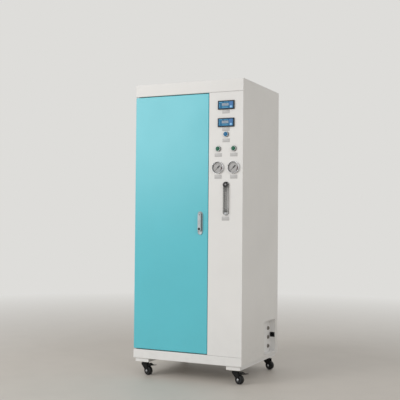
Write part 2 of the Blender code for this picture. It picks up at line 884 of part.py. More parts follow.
def meter_case():
    """Makes a panel meter: rim, recessed face with the pocket of its key, and body behind."""
    rim = block((-meter_width / 2, -meter_proud, -meter_height / 2),
                (meter_width / 2, -seat_gap, meter_height / 2))
    softened(rim, meter_bevel, [edge for edge in rim.edges
                                if any(vert.co.y < -meter_proud / 2 for vert in edge.verts)])
    body = block((-meter_body_width / 2, -meter_proud / 2, -meter_body_height / 2),
                 (meter_body_width / 2, meter_body_depth, meter_body_height / 2))
    face = block((-meter_width / 2 + meter_rim, -meter_proud - overrun, -meter_height / 2 + meter_rim),
                 (meter_width / 2 - meter_rim, -meter_proud + meter_face_recess,
                  meter_height / 2 - meter_rim))
    wide, tall = meter_key_width / 2 + meter_key_play, meter_key_height / 2 + meter_key_play
    x, z = meter_key_side, -meter_key_drop
    pocket = block((x - wide, -meter_proud - overrun, z - tall),
                   (x + wide, meter_key_pocket_floor(), z + tall))
    return combined(rim, join(body), cut(face), cut(pocket))


def meter_key_pocket_floor():
    """Gives how deep the pocket reaches, so that the key can travel and still clear its floor."""
    face = -meter_proud + meter_face_recess
    return face - meter_key_proud + meter_key_thickness + meter_key_travel + seat_gap


def meter_key():
    """Makes the small key that stands just proud of a meter's face."""
    key = block((-meter_key_width / 2, 0, -meter_key_height / 2),
                (meter_key_width / 2, meter_key_thickness, meter_key_height / 2))
    return softened(key, meter_key_proud / 2, [edge for edge in key.edges
                                               if all(vert.co.y < seat_gap for vert in edge.verts)])


def button_bezel():
    """Turns a pushbutton's ring and barrel, with the contact block behind the panel."""
    bore = cap_radius + running_gap
    stem_bore = stem_radius + running_gap
    deep = cap_back() + stem_length + cap_travel + seat_gap
    ring = turned(((0, barrel_length), (barrel_radius, barrel_length), (barrel_radius, -seat_gap),
                   (bezel_radius, -seat_gap), (bezel_radius, -bezel_proud / 3),
                   (bezel_radius - cap_edge / 2, -bezel_proud), (bore, -bezel_proud),
                   (bore, -bezel_floor - seat_gap), (stem_bore, -bezel_floor - seat_gap),
                   (stem_bore, deep), (0, deep)), round_steps)
    moved(ring, turn=facing_back)
    back = block((-contact_block_width / 2, barrel_length - overrun, -contact_block_height / 2),
                 (contact_block_width / 2, barrel_length - overrun + contact_block_depth,
                  contact_block_height / 2))
    return combined(ring, join(softened(back, cap_edge, steps=1)))


def cap_back():
    """Gives how far from the panel a button's cap ends, at rest, behind its face."""
    return -cap_proud + cap_thickness


def button_cap():
    """Turns a button's domed cap and its stem, from its face at zero."""
    return moved(turned(((0, 0), (cap_radius - cap_edge, cap_edge / 4), (cap_radius, cap_edge),
                         (cap_radius, cap_thickness), (stem_radius, cap_thickness),
                         (stem_radius, cap_thickness + stem_length), (0, cap_thickness + stem_length)),
                        round_steps), turn=facing_back)


def gauge_case():
    """Turns a gauge's ring and case about its dial, with the needle's pin and the rear stem."""
    inner = gauge_radius - gauge_ring_wall
    lip = inner - gauge_lip
    behind_lip = -gauge_proud + gauge_lip
    edge = gauge_ring_step
    pin_end = needle_back() - needle_thickness
    profile = ((0, pin_end), (needle_pin_radius, pin_end), (needle_pin_radius, -dial_depth),
               (inner, -dial_depth), (inner, behind_lip), (lip, behind_lip), (lip, -gauge_proud),
               (gauge_radius - 2 * edge, -gauge_proud), (gauge_radius - edge, -gauge_proud + edge),
               (gauge_radius - edge, -gauge_flange), (gauge_radius, -gauge_flange),
               (gauge_radius, -seat_gap), (gauge_case_radius, -seat_gap),
               (gauge_case_radius, gauge_case_depth - gauge_case_wall),
               (gauge_case_radius - gauge_case_wall, gauge_case_depth),
               (gauge_stem_radius, gauge_case_depth),
               (gauge_stem_radius, gauge_case_depth + gauge_stem_length),
               (0, gauge_case_depth + gauge_stem_length))
    nut = hexagon(gauge_nut_radius, gauge_case_depth - gauge_case_wall,
                  gauge_case_depth + gauge_nut_length)
    return combined(moved(turned(profile, fine_steps), turn=facing_back),
                    join(moved(nut, turn=facing_back)))


def needle_back():
    """Gives the depth of the needle's rear face, just in front of the dial."""
    return -dial_depth - needle_thickness


def gauge_needle():
    """Makes a needle along +Z, with its hub and counterweight, in front of the dial."""
    blade = prism(((-needle_root_width / 2, 0, 0), (-needle_tip_width / 2, 0, needle_length),
                   (needle_tip_width / 2, 0, needle_length), (needle_root_width / 2, 0, 0),
                   (needle_tail_width / 2, 0, -needle_tail), (-needle_tail_width / 2, 0, -needle_tail)),
                  (0, needle_thickness, 0))
    hub = rod(needle_hub_radius, -needle_thickness, needle_thickness, small_steps)
    bore = rod(needle_pin_radius + running_gap, -overrun, overrun, tiny_steps)
    shape = combined(hub, join(moved(blade, turn=facing_back.inverted())), cut(bore))
    return moved(shape, turn=facing_back)


def gauge_glass():
    """Turns the flat glass that the gauge's lip holds."""
    radius = gauge_radius - gauge_ring_wall - running_gap
    return moved(rod(radius, 0, gauge_glass_thickness, fine_steps), turn=facing_back)


def flow_port_offset():
    """Gives how far above and below its middle the flow meter's two ports lie."""
    return flow_height / 2 - flow_bore_end - flow_port_inset


def flow_body():
    """Makes the clear flow meter block with its tapered bore and its two ports to the back."""
    outline = rounded_outline(flow_width, flow_height, flow_corner)
    body = moved(prism(outline, (0, flow_depth, 0)), 0, -flow_proud, 0)
    back = flow_depth - flow_proud
    half = flow_height / 2 - flow_bore_end
    bore = turned(((0, -half), (flow_bore_bottom_radius, -half), (flow_bore_top_radius, half),
                   (0, half)), small_steps)
    stubs, ports = [], []
    for side in (-1, 1):
        z = side * flow_port_offset()
        stub = rod(flow_stub_radius, back - flow_depth / 6, back + flow_stub_length, small_steps)
        stubs.append(join(moved(stub, 0, 0, z, turn=facing_back)))
        port = rod(flow_port_radius, flow_axis_y, back + flow_stub_length + overrun, tiny_steps)
        ports.append(join(moved(port, 0, 0, z, turn=facing_back)))
    passage = combined(moved(bore, 0, flow_axis_y, 0), *ports)
    return combined(body, *stubs, cut(passage))


def flow_float():
    """Turns the float, a small plumb bob that stands on the bottom of the bore."""
    return turned(((0, 0), (float_radius / 3, 0), (float_radius, float_height * 2 / 3),
                   (float_radius, float_height * 5 / 6), (float_radius / 2, float_height),
                   (0, float_height)), small_steps)


def connection_bay():
    """Makes the recessed tray, its flange behind the side panel and the holes of its fittings."""
    mouth = cabinet_width - clear
    low, high = bay_bottom, bay_bottom + bay_height
    outer = block((bay_floor - sheet, bay_front - sheet, low - sheet),
                  (mouth, bay_rear + sheet, high + sheet))
    flange = block((mouth - sheet, bay_front - bay_flange, low - bay_flange),
                   (mouth, bay_rear + bay_flange, high + bay_flange))
    hollow = block((bay_floor, bay_front, low), (mouth + overrun, bay_rear, high))
    changes = [join(flange), cut(hollow)]
    for z in port_heights():
        hole = rod(port_thread_radius + running_gap, -sheet - overrun, overrun, small_steps)
        changes.append(cut(moved(hole, bay_floor, bay_rear - port_from_rear, z, turn=facing_right)))
    wide, tall = inlet_body_width / 2 + running_gap, inlet_body_height / 2 + running_gap
    x, z = inlet_place()
    changes.append(cut(block((x - wide, bay_rear - overrun, z - tall),
                             (x + wide, bay_rear + sheet + overrun, z + tall))))
    return combined(outer, *changes)


def port_heights():
    """Gives the heights of the three hose ports in the bay, the lowest first."""
    return [bay_bottom + port_lowest + port_pitch * row for row in range(3)]


def inlet_place():
    """Gives the middle of the mains inlet on the bay's rear wall, as x and z."""
    return bay_floor + bay_depth / 2, bay_bottom + inlet_rise


def hose_port():
    """Makes a bulkhead push-in fitting along +X: collet, body, nut and rear thread."""
    nut_back = seat_gap
    nut_front = nut_back + port_nut_length
    body_front = nut_front + port_body_length
    tip = body_front + port_collet_length
    rear = -sheet - seat_gap
    profile = ((0, -port_thread_length), (port_thread_radius, -port_thread_length),
               (port_thread_radius, nut_back), (port_body_radius, nut_back),
               (port_body_radius, body_front), (port_collet_radius, body_front),
               (port_collet_radius, tip), (0, tip))
    nut = hexagon(port_nut_radius, nut_back, nut_front)
    lock_nut = hexagon(port_nut_radius, rear - port_nut_length, rear)
    bore = rod(port_bore_radius, tip - port_bore_depth, tip + overrun, small_steps)
    fitting = combined(turned(profile, small_steps), join(nut), join(lock_nut), cut(bore))
    return moved(fitting, turn=facing_right)


def mains_inlet():
    """Makes the mains inlet: rim, body through the wall, socket and its three pins."""
    rim = block((-inlet_width / 2, -inlet_rim, -inlet_height / 2),
                (inlet_width / 2, -seat_gap, inlet_height / 2))
    softened(rim, inlet_rim / 3, [edge for edge in rim.edges
                                  if all(vert.co.y < -inlet_rim / 2 for vert in edge.verts)])
    body = block((-inlet_body_width / 2, -inlet_rim / 2, -inlet_body_height / 2),
                 (inlet_body_width / 2, inlet_body_depth, inlet_body_height / 2))
    wide = inlet_body_width / 2 - inlet_socket_wall
    tall = inlet_body_height / 2 - inlet_socket_wall
    corner = tall / 2
    outline = ((-wide, 0, -tall), (wide, 0, -tall), (wide, 0, tall - corner),
               (wide - corner, 0, tall), (-wide + corner, 0, tall), (-wide, 0, tall - corner))
    socket = moved(prism(outline, (0, inlet_socket_depth + overrun, 0)), 0, -inlet_rim - overrun, 0)
    floor = inlet_socket_depth - inlet_rim
    pins = []
    for column, rise in ((-1, -1), (0, 1), (1, -1)):
        x, z = column * inlet_pin_spread / 2, rise * inlet_pin_step / 2
        pins.append(join(block((x - inlet_pin_width / 2, floor - inlet_pin_length,
                                z - inlet_pin_height / 2),
                               (x + inlet_pin_width / 2, floor + inlet_socket_wall / 2,
                                z + inlet_pin_height / 2))))
    return combined(rim, join(body), cut(socket), *pins)


def caster_fork(braked):
    """Makes a swivel fork: crown, bridge, two legs, kingpin nut and the wheel's axle."""
    crown_top = -(caster_plate_thickness + race_height + seat_gap)
    crown_low = crown_top - fork_crown_height
    bridge_low = crown_low - fork_bridge_thickness
    outer = fork_gap / 2 + fork_wall
    crown = turned(((0, crown_top), (fork_crown_radius - fork_crown_chamfer, crown_top),
                    (fork_crown_radius, crown_top - fork_crown_chamfer),
                    (fork_crown_radius, crown_low), (0, crown_low)), round_steps)
    bridge = block((-fork_leg_back, -outer, bridge_low),
                   (fork_leg_front, outer, crown_low + fork_bridge_thickness / 2))
    axle_turn = Matrix.Rotation(math.radians(90), 4, "X")
    changes = [join(bridge)]
    for side in (-1, 1):
        leg = prism(fork_leg_outline(crown_low), (0, fork_wall, 0))
        changes.append(join(moved(leg, 0, side * (outer - fork_wall / 2) - fork_wall / 2, 0)))
    nut = hexagon(kingpin_nut_radius, bridge_low - kingpin_nut_height, crown_low)
    axle = rod(axle_radius, -outer - axle_head_height / 2, outer + axle_head_height / 2, small_steps)
    changes += [join(nut), join(moved(axle, caster_trail, 0, -wheel_drop, turn=axle_turn))]
    for side in (-1, 1):
        start = side * (outer - fork_wall / 2)
        end = side * (outer + axle_head_height)
        head = hexagon(axle_head_radius, min(start, end), max(start, end))
        changes.append(join(moved(head, caster_trail, 0, -wheel_drop, turn=axle_turn)))
    if braked:
        hole = rod(pedal_pin_radius + running_gap, -outer - overrun, outer + overrun, tiny_steps)
        changes.append(cut(moved(hole, pedal_pivot_x, 0, -pedal_pivot_drop, turn=axle_turn)))
    return combined(crown, *changes)


def fork_leg_outline(top):
    """Gives a fork leg's outline in X and Z: wide under the crown, round about the axle."""
    points = [(-fork_leg_back, 0, top), (-fork_leg_back, 0, top - 2 * fork_bridge_thickness)]
    start, end = math.radians(215), math.radians(375)
    for step in range(8):
        turn = start + (end - start) * step / 7
        points.append((caster_trail + fork_leg_end_radius * math.cos(turn), 0,
                       -wheel_drop + fork_leg_end_radius * math.sin(turn)))
    points += [(fork_leg_front, 0, top - 3 * fork_bridge_thickness), (fork_leg_front, 0, top)]
    return points


def caster_wheel():
    """Turns a wheel along Y with its tread, recessed web and bored hub; it stands on a flat."""
    tread = wheel_radius / math.cos(math.pi / round_steps)
    shoulder = tread - wheel_shoulder
    half = wheel_width / 2
    rim = tread - wheel_rim_depth
    web = wheel_web_width / 2
    hub = fork_gap / 2 - wheel_hub_play
    bore = axle_radius + running_gap
    side = ((bore, hub), (wheel_hub_radius, hub), (wheel_hub_radius, web), (rim, web),
            (rim, half), (shoulder, half), (tread, half - wheel_shoulder))
    profile = side + tuple((radius, -width) for radius, width in reversed(side))
    wheel = turned(profile, round_steps, ring=True)
    flat_down = Matrix.Rotation(math.pi / 2 + math.pi / round_steps, 4, "Z")
    moved(wheel, turn=flat_down)
    return moved(wheel, turn=Matrix.Rotation(math.radians(90), 4, "X"))


def brake_pedal():
    """Makes a pedal about its hinge: arm over the wheel, crest before the fork, ribbed pad."""
    x0, z0 = pedal_pivot_x, -pedal_pivot_drop
    dip = (pedal_dip_x - x0, -pedal_dip_drop - z0)
    pad_line = ((pedal_pad_x - x0, -pedal_pad_drop - z0), (pedal_reach - x0, -pedal_tip_drop - z0))
    half = pedal_thickness / 2
    crest = -pedal_crest_drop - z0
    outline = [(x, -pedal_width / 2, z + half) for x, z in ((0, 0), dip)]
    outline += [(x - x0, -pedal_width / 2, crest) for x in (pedal_crest_back, pedal_crest_front)]
    outline += [(x, -pedal_width / 2, z + half) for x, z in pad_line]
    outline += [(x, -pedal_width / 2, z - half) for x, z in (*reversed(pad_line), dip, (0, 0))]
    arm = prism(outline, (0, pedal_width, 0))
    turn = Matrix.Rotation(math.radians(90), 4, "X")
    boss = moved(rod(pedal_boss_radius, -pedal_width / 2, pedal_width / 2, small_steps), turn=turn)
    pin_end = fork_gap / 2 + fork_wall
    pin = moved(rod(pedal_pin_radius, -pin_end, pin_end, tiny_steps), turn=turn)
    changes = [join(boss), join(pin)]
    pad = pedal_reach - pedal_pad_x
    rise = (pedal_pad_drop - pedal_tip_drop) / pad
    for rib in range(pedal_ribs):
        along = pad * (rib + 1) / (pedal_ribs + 1)
        x = pedal_pad_x - x0 + along
        z = -pedal_pad_drop - z0 + rise * along + half
        changes.append(join(block((x - pedal_rib_width / 2, -pedal_width / 3, z - half),
                                  (x + pedal_rib_width / 2, pedal_width / 3, z + pedal_rib_height))))
    return combined(arm, *changes)


def filter_bracket():
    """Folds the angle on the back panel that the pre-filters hang from."""
    top = bracket_rise + bracket_upright
    upright = block((bracket_left, back_face - seat_gap - bracket_sheet, bracket_rise),
                    (bracket_left + bracket_length, back_face - seat_gap, top))
    shelf = block((bracket_left, back_face - seat_gap - bracket_shelf, top - bracket_sheet),
                  (bracket_left + bracket_length, back_face - seat_gap, top))
    return combined(upright, join(shelf))


def prefilter():
    """Makes a cartridge housing hung from zero: ported head, ribbed collar and tapered bowl."""
    head_low = -seat_gap - prefilter_head_height
    chamfer = prefilter_head_chamfer
    head = turned(((0, -seat_gap), (prefilter_head_radius - chamfer, -seat_gap),
                   (prefilter_head_radius, -seat_gap - chamfer), (prefilter_head_radius, head_low),
                   (0, head_low)), round_steps)
    collar_low = head_low - prefilter_collar_height
    corners = []
    for index in range(4 * prefilter_collar_ribs):
        turn = math.tau * index / (4 * prefilter_collar_ribs)
        groove = prefilter_collar_groove if index % 4 > 1 else 0
        radius = prefilter_collar_radius - groove
        corners.append((radius * math.cos(turn), radius * math.sin(turn), collar_low))
    collar = prism(corners, (0, 0, prefilter_collar_height + seat_gap))
    bowl_low = collar_low - prefilter_bowl_length
    dome = prefilter_bowl_dome
    bowl = turned(((0, collar_low + dome), (prefilter_bowl_radius, collar_low + dome),
                   (prefilter_bowl_radius, collar_low),
                   (prefilter_bowl_foot_radius, bowl_low + dome),
                   (prefilter_bowl_foot_radius - dome, bowl_low), (0, bowl_low)), round_steps)
    nipple = rod(prefilter_nipple_radius, -prefilter_pitch / 2 + seat_gap,
                 prefilter_pitch / 2 - seat_gap, small_steps)
    moved(nipple, 0, 0, head_low + prefilter_head_height / 2, turn=facing_right)
    return combined(head, join(collar), join(bowl), join(nipple))


def membrane_vessel():
    """Turns the upright membrane vessel with its clamped end caps and end ports."""
    cap, clamp = vessel_cap_height, vessel_clamp_height
    low_half = ((0, 0), (vessel_cap_radius, 0), (vessel_cap_radius, cap - clamp),
                (vessel_clamp_radius, cap - clamp), (vessel_clamp_radius, cap), (vessel_radius, cap))
    top = vessel_height - vessel_port_height
    high_half = ((vessel_radius, top - cap), (vessel_clamp_radius, top - cap),
                 (vessel_clamp_radius, top - cap + clamp), (vessel_cap_radius, top - cap + clamp),
                 (vessel_cap_radius, top), (vessel_port_radius, top),
                 (vessel_port_radius, vessel_height), (0, vessel_height))
    side_port = rod(vessel_port_radius, 0, vessel_cap_radius + vessel_port_height, small_steps)
    moved(side_port, 0, 0, (cap - clamp) / 2, turn=Matrix.Rotation(math.radians(90), 4, "X"))
    return combined(turned(low_half + high_half, round_steps), join(side_port))


def resin_tank():
    """Turns a resin tank: foot, straight wall, domed shoulder, neck and distributor head."""
    shoulder = tank_height - tank_dome
    dome = []
    for step in range(1, 6):
        turn = math.radians(90) * step / 6
        dome.append((tank_neck_radius + (tank_radius - tank_neck_radius) * math.cos(turn),
                     shoulder + tank_dome * math.sin(turn)))
    neck_top = tank_height + tank_neck_height
    head_top = neck_top + tank_head_height
    profile = [(0, 0), (tank_foot_radius, 0), (tank_foot_radius, tank_foot_height),
               (tank_radius, tank_foot_height), (tank_radius, shoulder), *dome,
               (tank_neck_radius, tank_height), (tank_neck_radius, neck_top),
               (tank_head_radius, neck_top), (tank_head_radius, head_top - tank_head_chamfer),
               (tank_head_radius - tank_head_chamfer, head_top), (0, head_top)]
    return turned(profile, round_steps)


def booster_pump():
    """Makes the pump along X: ribbed motor, head with its two ports, saddle and foot."""
    pitch = pump_motor_length / (2 * pump_fins - 1)
    profile = [(0, 0)]
    for fin in range(2 * pump_fins - 1):
        radius = pump_motor_radius - (pump_fin_depth if fin % 2 else 0)
        profile += [(radius, fin * pitch), (radius, (fin + 1) * pitch)]
    collar_end = pump_motor_length + pump_collar_length
    head_end = collar_end + pump_head_length
    profile += [(pump_collar_radius, pump_motor_length), (pump_collar_radius, collar_end),
                (pump_head_radius, collar_end), (pump_head_radius, head_end), (0, head_end)]
    body = moved(turned(profile, round_steps), 0, 0, pump_axis_rise, turn=facing_right)
    foot = block((0, -pump_foot_width / 2, 0), (pump_foot_length, pump_foot_width / 2,
                                                pump_foot_thickness))
    saddle_start = (pump_foot_length - pump_saddle_length) / 2
    saddle = block((saddle_start, -pump_saddle_width / 2, pump_foot_thickness / 2),
                   (saddle_start + pump_saddle_length, pump_saddle_width / 2, pump_axis_rise))
    ports = []
    for share in (1 / 4, 3 / 4):
        port = rod(pump_port_radius, 0, pump_head_radius + pump_port_height, small_steps)
        ports.append(join(moved(port, collar_end + pump_head_length * share, 0, pump_axis_rise)))
    return combined(body, join(foot), join(saddle), *ports)


def control_box():
    """Makes the electrical box about its back face, with its overhanging lid and cable glands."""
    front = -box_depth
    shell = softened(block((0, front + box_lid, 0), (box_width, 0, box_height)), box_bevel)
    lid = block((-box_lid_overhang, front, -box_lid_overhang),
                (box_width + box_lid_overhang, front + box_lid + box_bevel,
                 box_height + box_lid_overhang))
    softened(lid, box_bevel)
    glands = []
    for index in range(box_glands):
        x = box_width * (index + 1) / (box_glands + 1)
        gland = hexagon(box_gland_radius, -box_gland_length, box_lid_overhang)
        glands.append(join(moved(gland, x, front / 2, 0)))
    return combined(shell, join(lid), *glands)


def build_cabinet(root):
    """Adds the folded sheets of the cabinet and its two caster rails."""
    white = finish("cabinet_white", (221, 219, 214), 0.32)
    glossy = finish("side_white", (214, 211, 206), 0.18)
    zinc = finish("zinc_plate", (176, 178, 180), 0.42, 0.9)
    piece("left_side_panel", left_side_panel(), glossy, root)
    piece("right_side_panel", right_side_panel(), glossy, root)
    piece("top_cover", top_cover(), white, root)
    piece("base_tray", base_tray(), white, root)
    piece("back_panel", back_panel(), white, root)
    piece("mullion", mullion(), white, root)
    piece("instrument_panel", instrument_panel(), white, root)
    piece("filter_bracket", filter_bracket(), zinc, root)
    rail = as_mesh(caster_rail(), "caster_rail")
    right = cabinet_width - rail_inset - rail_width
    piece("left_caster_rail", rail, white, root, rail_inset, rail_setback, 0)
    piece("right_caster_rail", rail, white, root, right, rail_setback, 0)


def build_door(root):
    """Adds the hinge pins, and the door with its seal and lock on the hinge's axis."""
    teal = finish("door_teal", (110, 194, 204), 0.28)
    rubber = finish("seal_rubber", (38, 38, 40), 0.75)
    steel = finish("pin_steel", (172, 174, 176), 0.3, 1.0)
    chrome = finish("lock_chrome", (205, 207, 210), 0.16, 1.0)
    black = finish("key_black", (18, 18, 19), 0.35)
    piece("upper_hinge_pin", hinge_pin(door_top_gap), steel, root, hinge_x, hinge_y, door_top)
    lower = piece("lower_hinge_pin", hinge_pin(door_bottom_gap), steel, root,
                  hinge_x, hinge_y, door_bottom)
    lower.rotation_euler = (math.pi, 0, 0)
    hinge = empty("door_hinge", root, hinge_x, hinge_y, 0)
    for name, shape, material in (("door_panel", door_panel(), teal),
                                  ("door_seal", door_seal(), rubber),
                                  ("lock_escutcheon", lock_escutcheon(), chrome)):
        piece(name, shape, material, hinge, -hinge_x, -hinge_y, 0)
    spindle = empty("lock_turn", hinge, lock_x - hinge_x, -hinge_y, lever_axis_z)
    piece("lock_spindle", lock_spindle(), chrome, spindle)
    flip = empty("lever_flip", spindle, 0, lever_axis_y, 0)
    piece("lock_lever", lock_lever(), chrome, flip)
    piece("key_cylinder", key_cylinder(), black, flip, 0, 0, key_height())


def build_meters(root):
    """Adds the two panel meters and their keys."""
    case = finish("meter_black", (30, 33, 42), 0.35)
    key = finish("meter_key_blue", (120, 176, 220), 0.4)
    case_mesh = as_mesh(meter_case(), "meter")
    key_mesh = as_mesh(meter_key(), "meter_key")
    key_y = -meter_proud + meter_face_recess - meter_key_proud
    for name in ("upper_meter", "lower_meter"):
        x, z = instrument_places()[name]
        piece(name, case_mesh, case, root, x, 0, z)
        piece(name + "_key", key_mesh, key, root, x + meter_key_side, key_y, z - meter_key_drop)


def build_buttons(root):
    """Adds the blue and the two green pushbuttons."""
    chrome = finish("bezel_chrome", (200, 202, 205), 0.2, 1.0)
    bezel = as_mesh(button_bezel(), "button_bezel")
    for name, colour in (("blue_button", (30, 104, 150)), ("left_green_button", (24, 96, 62)),
                         ("right_green_button", (24, 96, 62))):
        x, z = instrument_places()[name]
        piece(name + "_bezel", bezel, chrome, root, x, 0, z)
        lamp = finish(name + "_cap", colour, 0.25)
        piece(name + "_cap", button_cap(), lamp, root, x, -cap_proud, z)


def build_gauges(root):
    """Adds the two pressure gauges, each needle turned to its zero at the lower left."""
    case = finish("gauge_chrome", (186, 188, 190), 0.25, 0.9)
    dark = finish("needle_black", (22, 22, 24), 0.4)
    clear_glass = finish("gauge_glass", (235, 240, 242), 0.05, 0.0, 0.25)
    case_mesh = as_mesh(gauge_case(), "gauge")
    needle_mesh = as_mesh(gauge_needle(), "gauge_needle")
    glass_mesh = as_mesh(gauge_glass(), "gauge_glass")
    glass_y = -gauge_proud + gauge_lip + seat_gap
    for name in ("left_gauge", "right_gauge"):
        x, z = instrument_places()[name]
        piece(name, case_mesh, case, root, x, 0, z)
        needle = piece(name + "_needle", needle_mesh, dark, root, x, needle_back(), z)
        needle.rotation_euler = (0, needle_rest_turn, 0)
        piece(name + "_glass", glass_mesh, clear_glass, root, x, glass_y, z)


def build_flow_meter(root):
    """Adds the flow meter's clear block and its float."""
    acrylic = finish("flow_acrylic", (196, 204, 206), 0.08, 0.0, 0.45)
    metal = finish("float_steel", (96, 98, 102), 0.3, 1.0)
    x, z = instrument_places()["flow_meter"]
    piece("flow_meter_body", flow_body(), acrylic, root, x, 0, z)
    low = -flow_height / 2 + flow_bore_end
    piece("flow_meter_float", flow_float(), metal, root, x, flow_axis_y, z + low + seat_gap)


def build_connection_bay(root):
    """Adds the recessed bay with its three hose ports and its mains inlet."""
    white = finish("bay_white", (205, 202, 197), 0.35)
    grey = finish("port_grey", (150, 152, 154), 0.4)
    black = finish("inlet_black", (20, 20, 21), 0.4)
    piece("connection_bay", connection_bay(), white, root)
    port = as_mesh(hose_port(), "hose_port")
    for name, z in zip(("drain_port", "product_port", "feed_port"), port_heights()):
        piece(name, port, grey, root, bay_floor, bay_rear - port_from_rear, z)
    x, z = inlet_place()
    piece("mains_inlet", mains_inlet(), black, root, x, bay_rear, z)


def build_casters(root):
    """Adds the four swivel casters, each about its swivel axis, and the front two's pedals."""
    black = finish("caster_black", (20, 20, 21), 0.38)
    tyre = finish("tread_black", (26, 26, 27), 0.55)
    plain = as_mesh(caster_fork(False), "plain_fork")
    braked = as_mesh(caster_fork(True), "braked_fork")
    wheel = as_mesh(caster_wheel(), "caster_wheel")
    pedal = as_mesh(brake_pedal(), "brake_pedal")
    front, rear = (rail_setback + y for y in rail_pivots())
    left = rail_inset + rail_width / 2
    right = cabinet_width - left
    for place, x, y in (("front_left", left, front), ("front_right", right, front),
                        ("rear_left", left, rear), ("rear_right", right, rear)):
        swivel = empty(place + "_swivel", root, x, y, -rail_height, turn=caster_turn)
        has_brake = place.startswith("front")
        piece(place + "_fork", braked if has_brake else plain, black, swivel)
        piece(place + "_wheel", wheel, tyre, swivel, caster_trail, 0, -wheel_drop)
        if has_brake:
            piece(place + "_pedal", pedal, black, swivel, pedal_pivot_x, 0, -pedal_pivot_drop)


def build_water_path(root):
    """Adds the pre-filters, the membrane vessel, the resin tanks, the pump and the control box."""
    pale = finish("prefilter_white", (214, 221, 226), 0.3)
    glass_fibre = finish("vessel_white", (214, 215, 214), 0.3)
    tank_colour = finish("tank_blue", (56, 96, 140), 0.45)
    motor = finish("pump_grey", (84, 88, 92), 0.45)
    grey = finish("box_grey", (206, 206, 202), 0.5)
    housing = as_mesh(prefilter(), "prefilter")
    for index, name in enumerate(("first_prefilter", "second_prefilter", "third_prefilter")):
        x = prefilter_first_x + index * prefilter_pitch
        piece(name, housing, pale, root, x, prefilter_y, prefilter_top)
    tank = as_mesh(resin_tank(), "resin_tank")
    for index, name in enumerate(("first_resin_tank", "second_resin_tank")):
        piece(name, tank, tank_colour, root, tank_first_x + index * tank_pitch, tank_y, clear)
    piece("membrane_vessel", membrane_vessel(), glass_fibre, root, vessel_x, vessel_y, clear)
    piece("booster_pump", booster_pump(), motor, root, pump_x, pump_y, clear)
    box = piece("control_box", control_box(), grey, root,
                cabinet_width - clear, vessel_y + box_width / 2, box_rise)
    box.rotation_euler = (0, 0, -math.pi / 2)


def stand_on_origin(root):
    """Moves the carrier so that the middle of all the pieces is over the origin."""
    bpy.context.view_layer.update()
    corners = []
    for thing in bpy.data.objects:
        if thing.type == "MESH":
            corners += [thing.matrix_world @ vert.co for vert in thing.data.vertices]
    for axis in range(2):
        spread = [corner[axis] for corner in corners]
        root.location[axis] = -(min(spread) + max(spread)) / 2
    root.location[2] = ground_clearance
    bpy.context.view_layer.update()


def main():
    """Clears the scene and builds the purifier."""
    for thing in list(bpy.data.objects):
        bpy.data.objects.remove(thing)
    root = empty("purifier", None, 0, 0, 0)
    build_cabinet(root)
    build_door(root)
    build_meters(root)
    build_buttons(root)
    build_gauges(root)
    build_flow_meter(root)
    build_connection_bay(root)
    build_casters(root)
    build_water_path(root)
    stand_on_origin(root)


main()
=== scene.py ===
"""Finished looks of a deionized water purifier: a lab cabinet with a teal door on four casters.

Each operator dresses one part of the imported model. Sizes and colours are scene properties.
"""
import math
from collections import namedtuple

import bmesh
import bpy
from mathutils import Matrix, Vector


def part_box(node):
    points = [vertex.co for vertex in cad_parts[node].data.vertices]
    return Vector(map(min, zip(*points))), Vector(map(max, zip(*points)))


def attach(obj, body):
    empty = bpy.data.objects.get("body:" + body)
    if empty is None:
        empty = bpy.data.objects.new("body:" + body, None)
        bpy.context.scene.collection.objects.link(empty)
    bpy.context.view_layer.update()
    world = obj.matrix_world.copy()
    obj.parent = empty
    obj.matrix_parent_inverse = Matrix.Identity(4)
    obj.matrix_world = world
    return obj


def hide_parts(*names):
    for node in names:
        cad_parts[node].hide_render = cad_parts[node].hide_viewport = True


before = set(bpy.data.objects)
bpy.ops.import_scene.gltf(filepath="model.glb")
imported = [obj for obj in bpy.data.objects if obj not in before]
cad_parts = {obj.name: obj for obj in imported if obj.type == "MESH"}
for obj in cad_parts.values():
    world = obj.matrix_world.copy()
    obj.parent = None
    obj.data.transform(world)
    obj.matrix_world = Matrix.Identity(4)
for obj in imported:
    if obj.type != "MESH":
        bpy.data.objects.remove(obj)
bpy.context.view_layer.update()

bl_info = {
    "name": "Water purifier looks",
    "version": (1, 0, 0),
    "blender": (4, 5, 0),
    "location": "View3D > Sidebar > Purifier",
    "description": "Finishes, fittings and stage of a deionized water purifier cabinet",
    "category": "Object",
}

FACING = {
    "up": (0, 0, 0),
    "front": (math.pi / 2, 0, 0),
    "back": (-math.pi / 2, 0, 0),
    "right": (0, math.pi / 2, 0),
    "left": (0, -math.pi / 2, 0),
}
GAUGES = ("left_gauge", "right_gauge")
METERS = ("upper_meter", "lower_meter")
BUTTONS = ("blue_button", "left_green_button", "right_green_button")
CASTERS = ("front_left", "front_right", "rear_left", "rear_right")
PORTS = ("drain_port", "product_port", "feed_port")
TANKS = ("first_resin_tank", "second_resin_tank")
PREFILTERS = ("first_prefilter", "second_prefilter", "third_prefilter")

# Turns in degrees

DIAL_START = 225  # clockwise from the dial's top
DIAL_SWEEP = 270
RED_START = 84
RED_SWEEP = 42
WHEEL_TURN = -15

# Sizes and places that several pieces share

END_FLAT = 0.0002  # straight part that a plate keeps between its round ends
WINDOW_OFFSET = Vector((-0.0043, 0, 0.0022))  # from a meter's middle to its display's
GAUGE_RIM = 0.0024
TUBE_FOOT_RADIUS = 0.0070
TUBE_TOP_RADIUS = 0.0088
LINK_DROP = 0.0278  # from a pre-filter's top down to its links
VESSEL_REACH = 0.062  # from the vessel's axis back to its wall
VESSEL_PORT_RISE = 0.011
PUMP_OUTLET = 0.177  # from the motor's end
PUMP_INLET = 0.207

# Camera, in metres from the foot of the panel's right edge, and in degrees

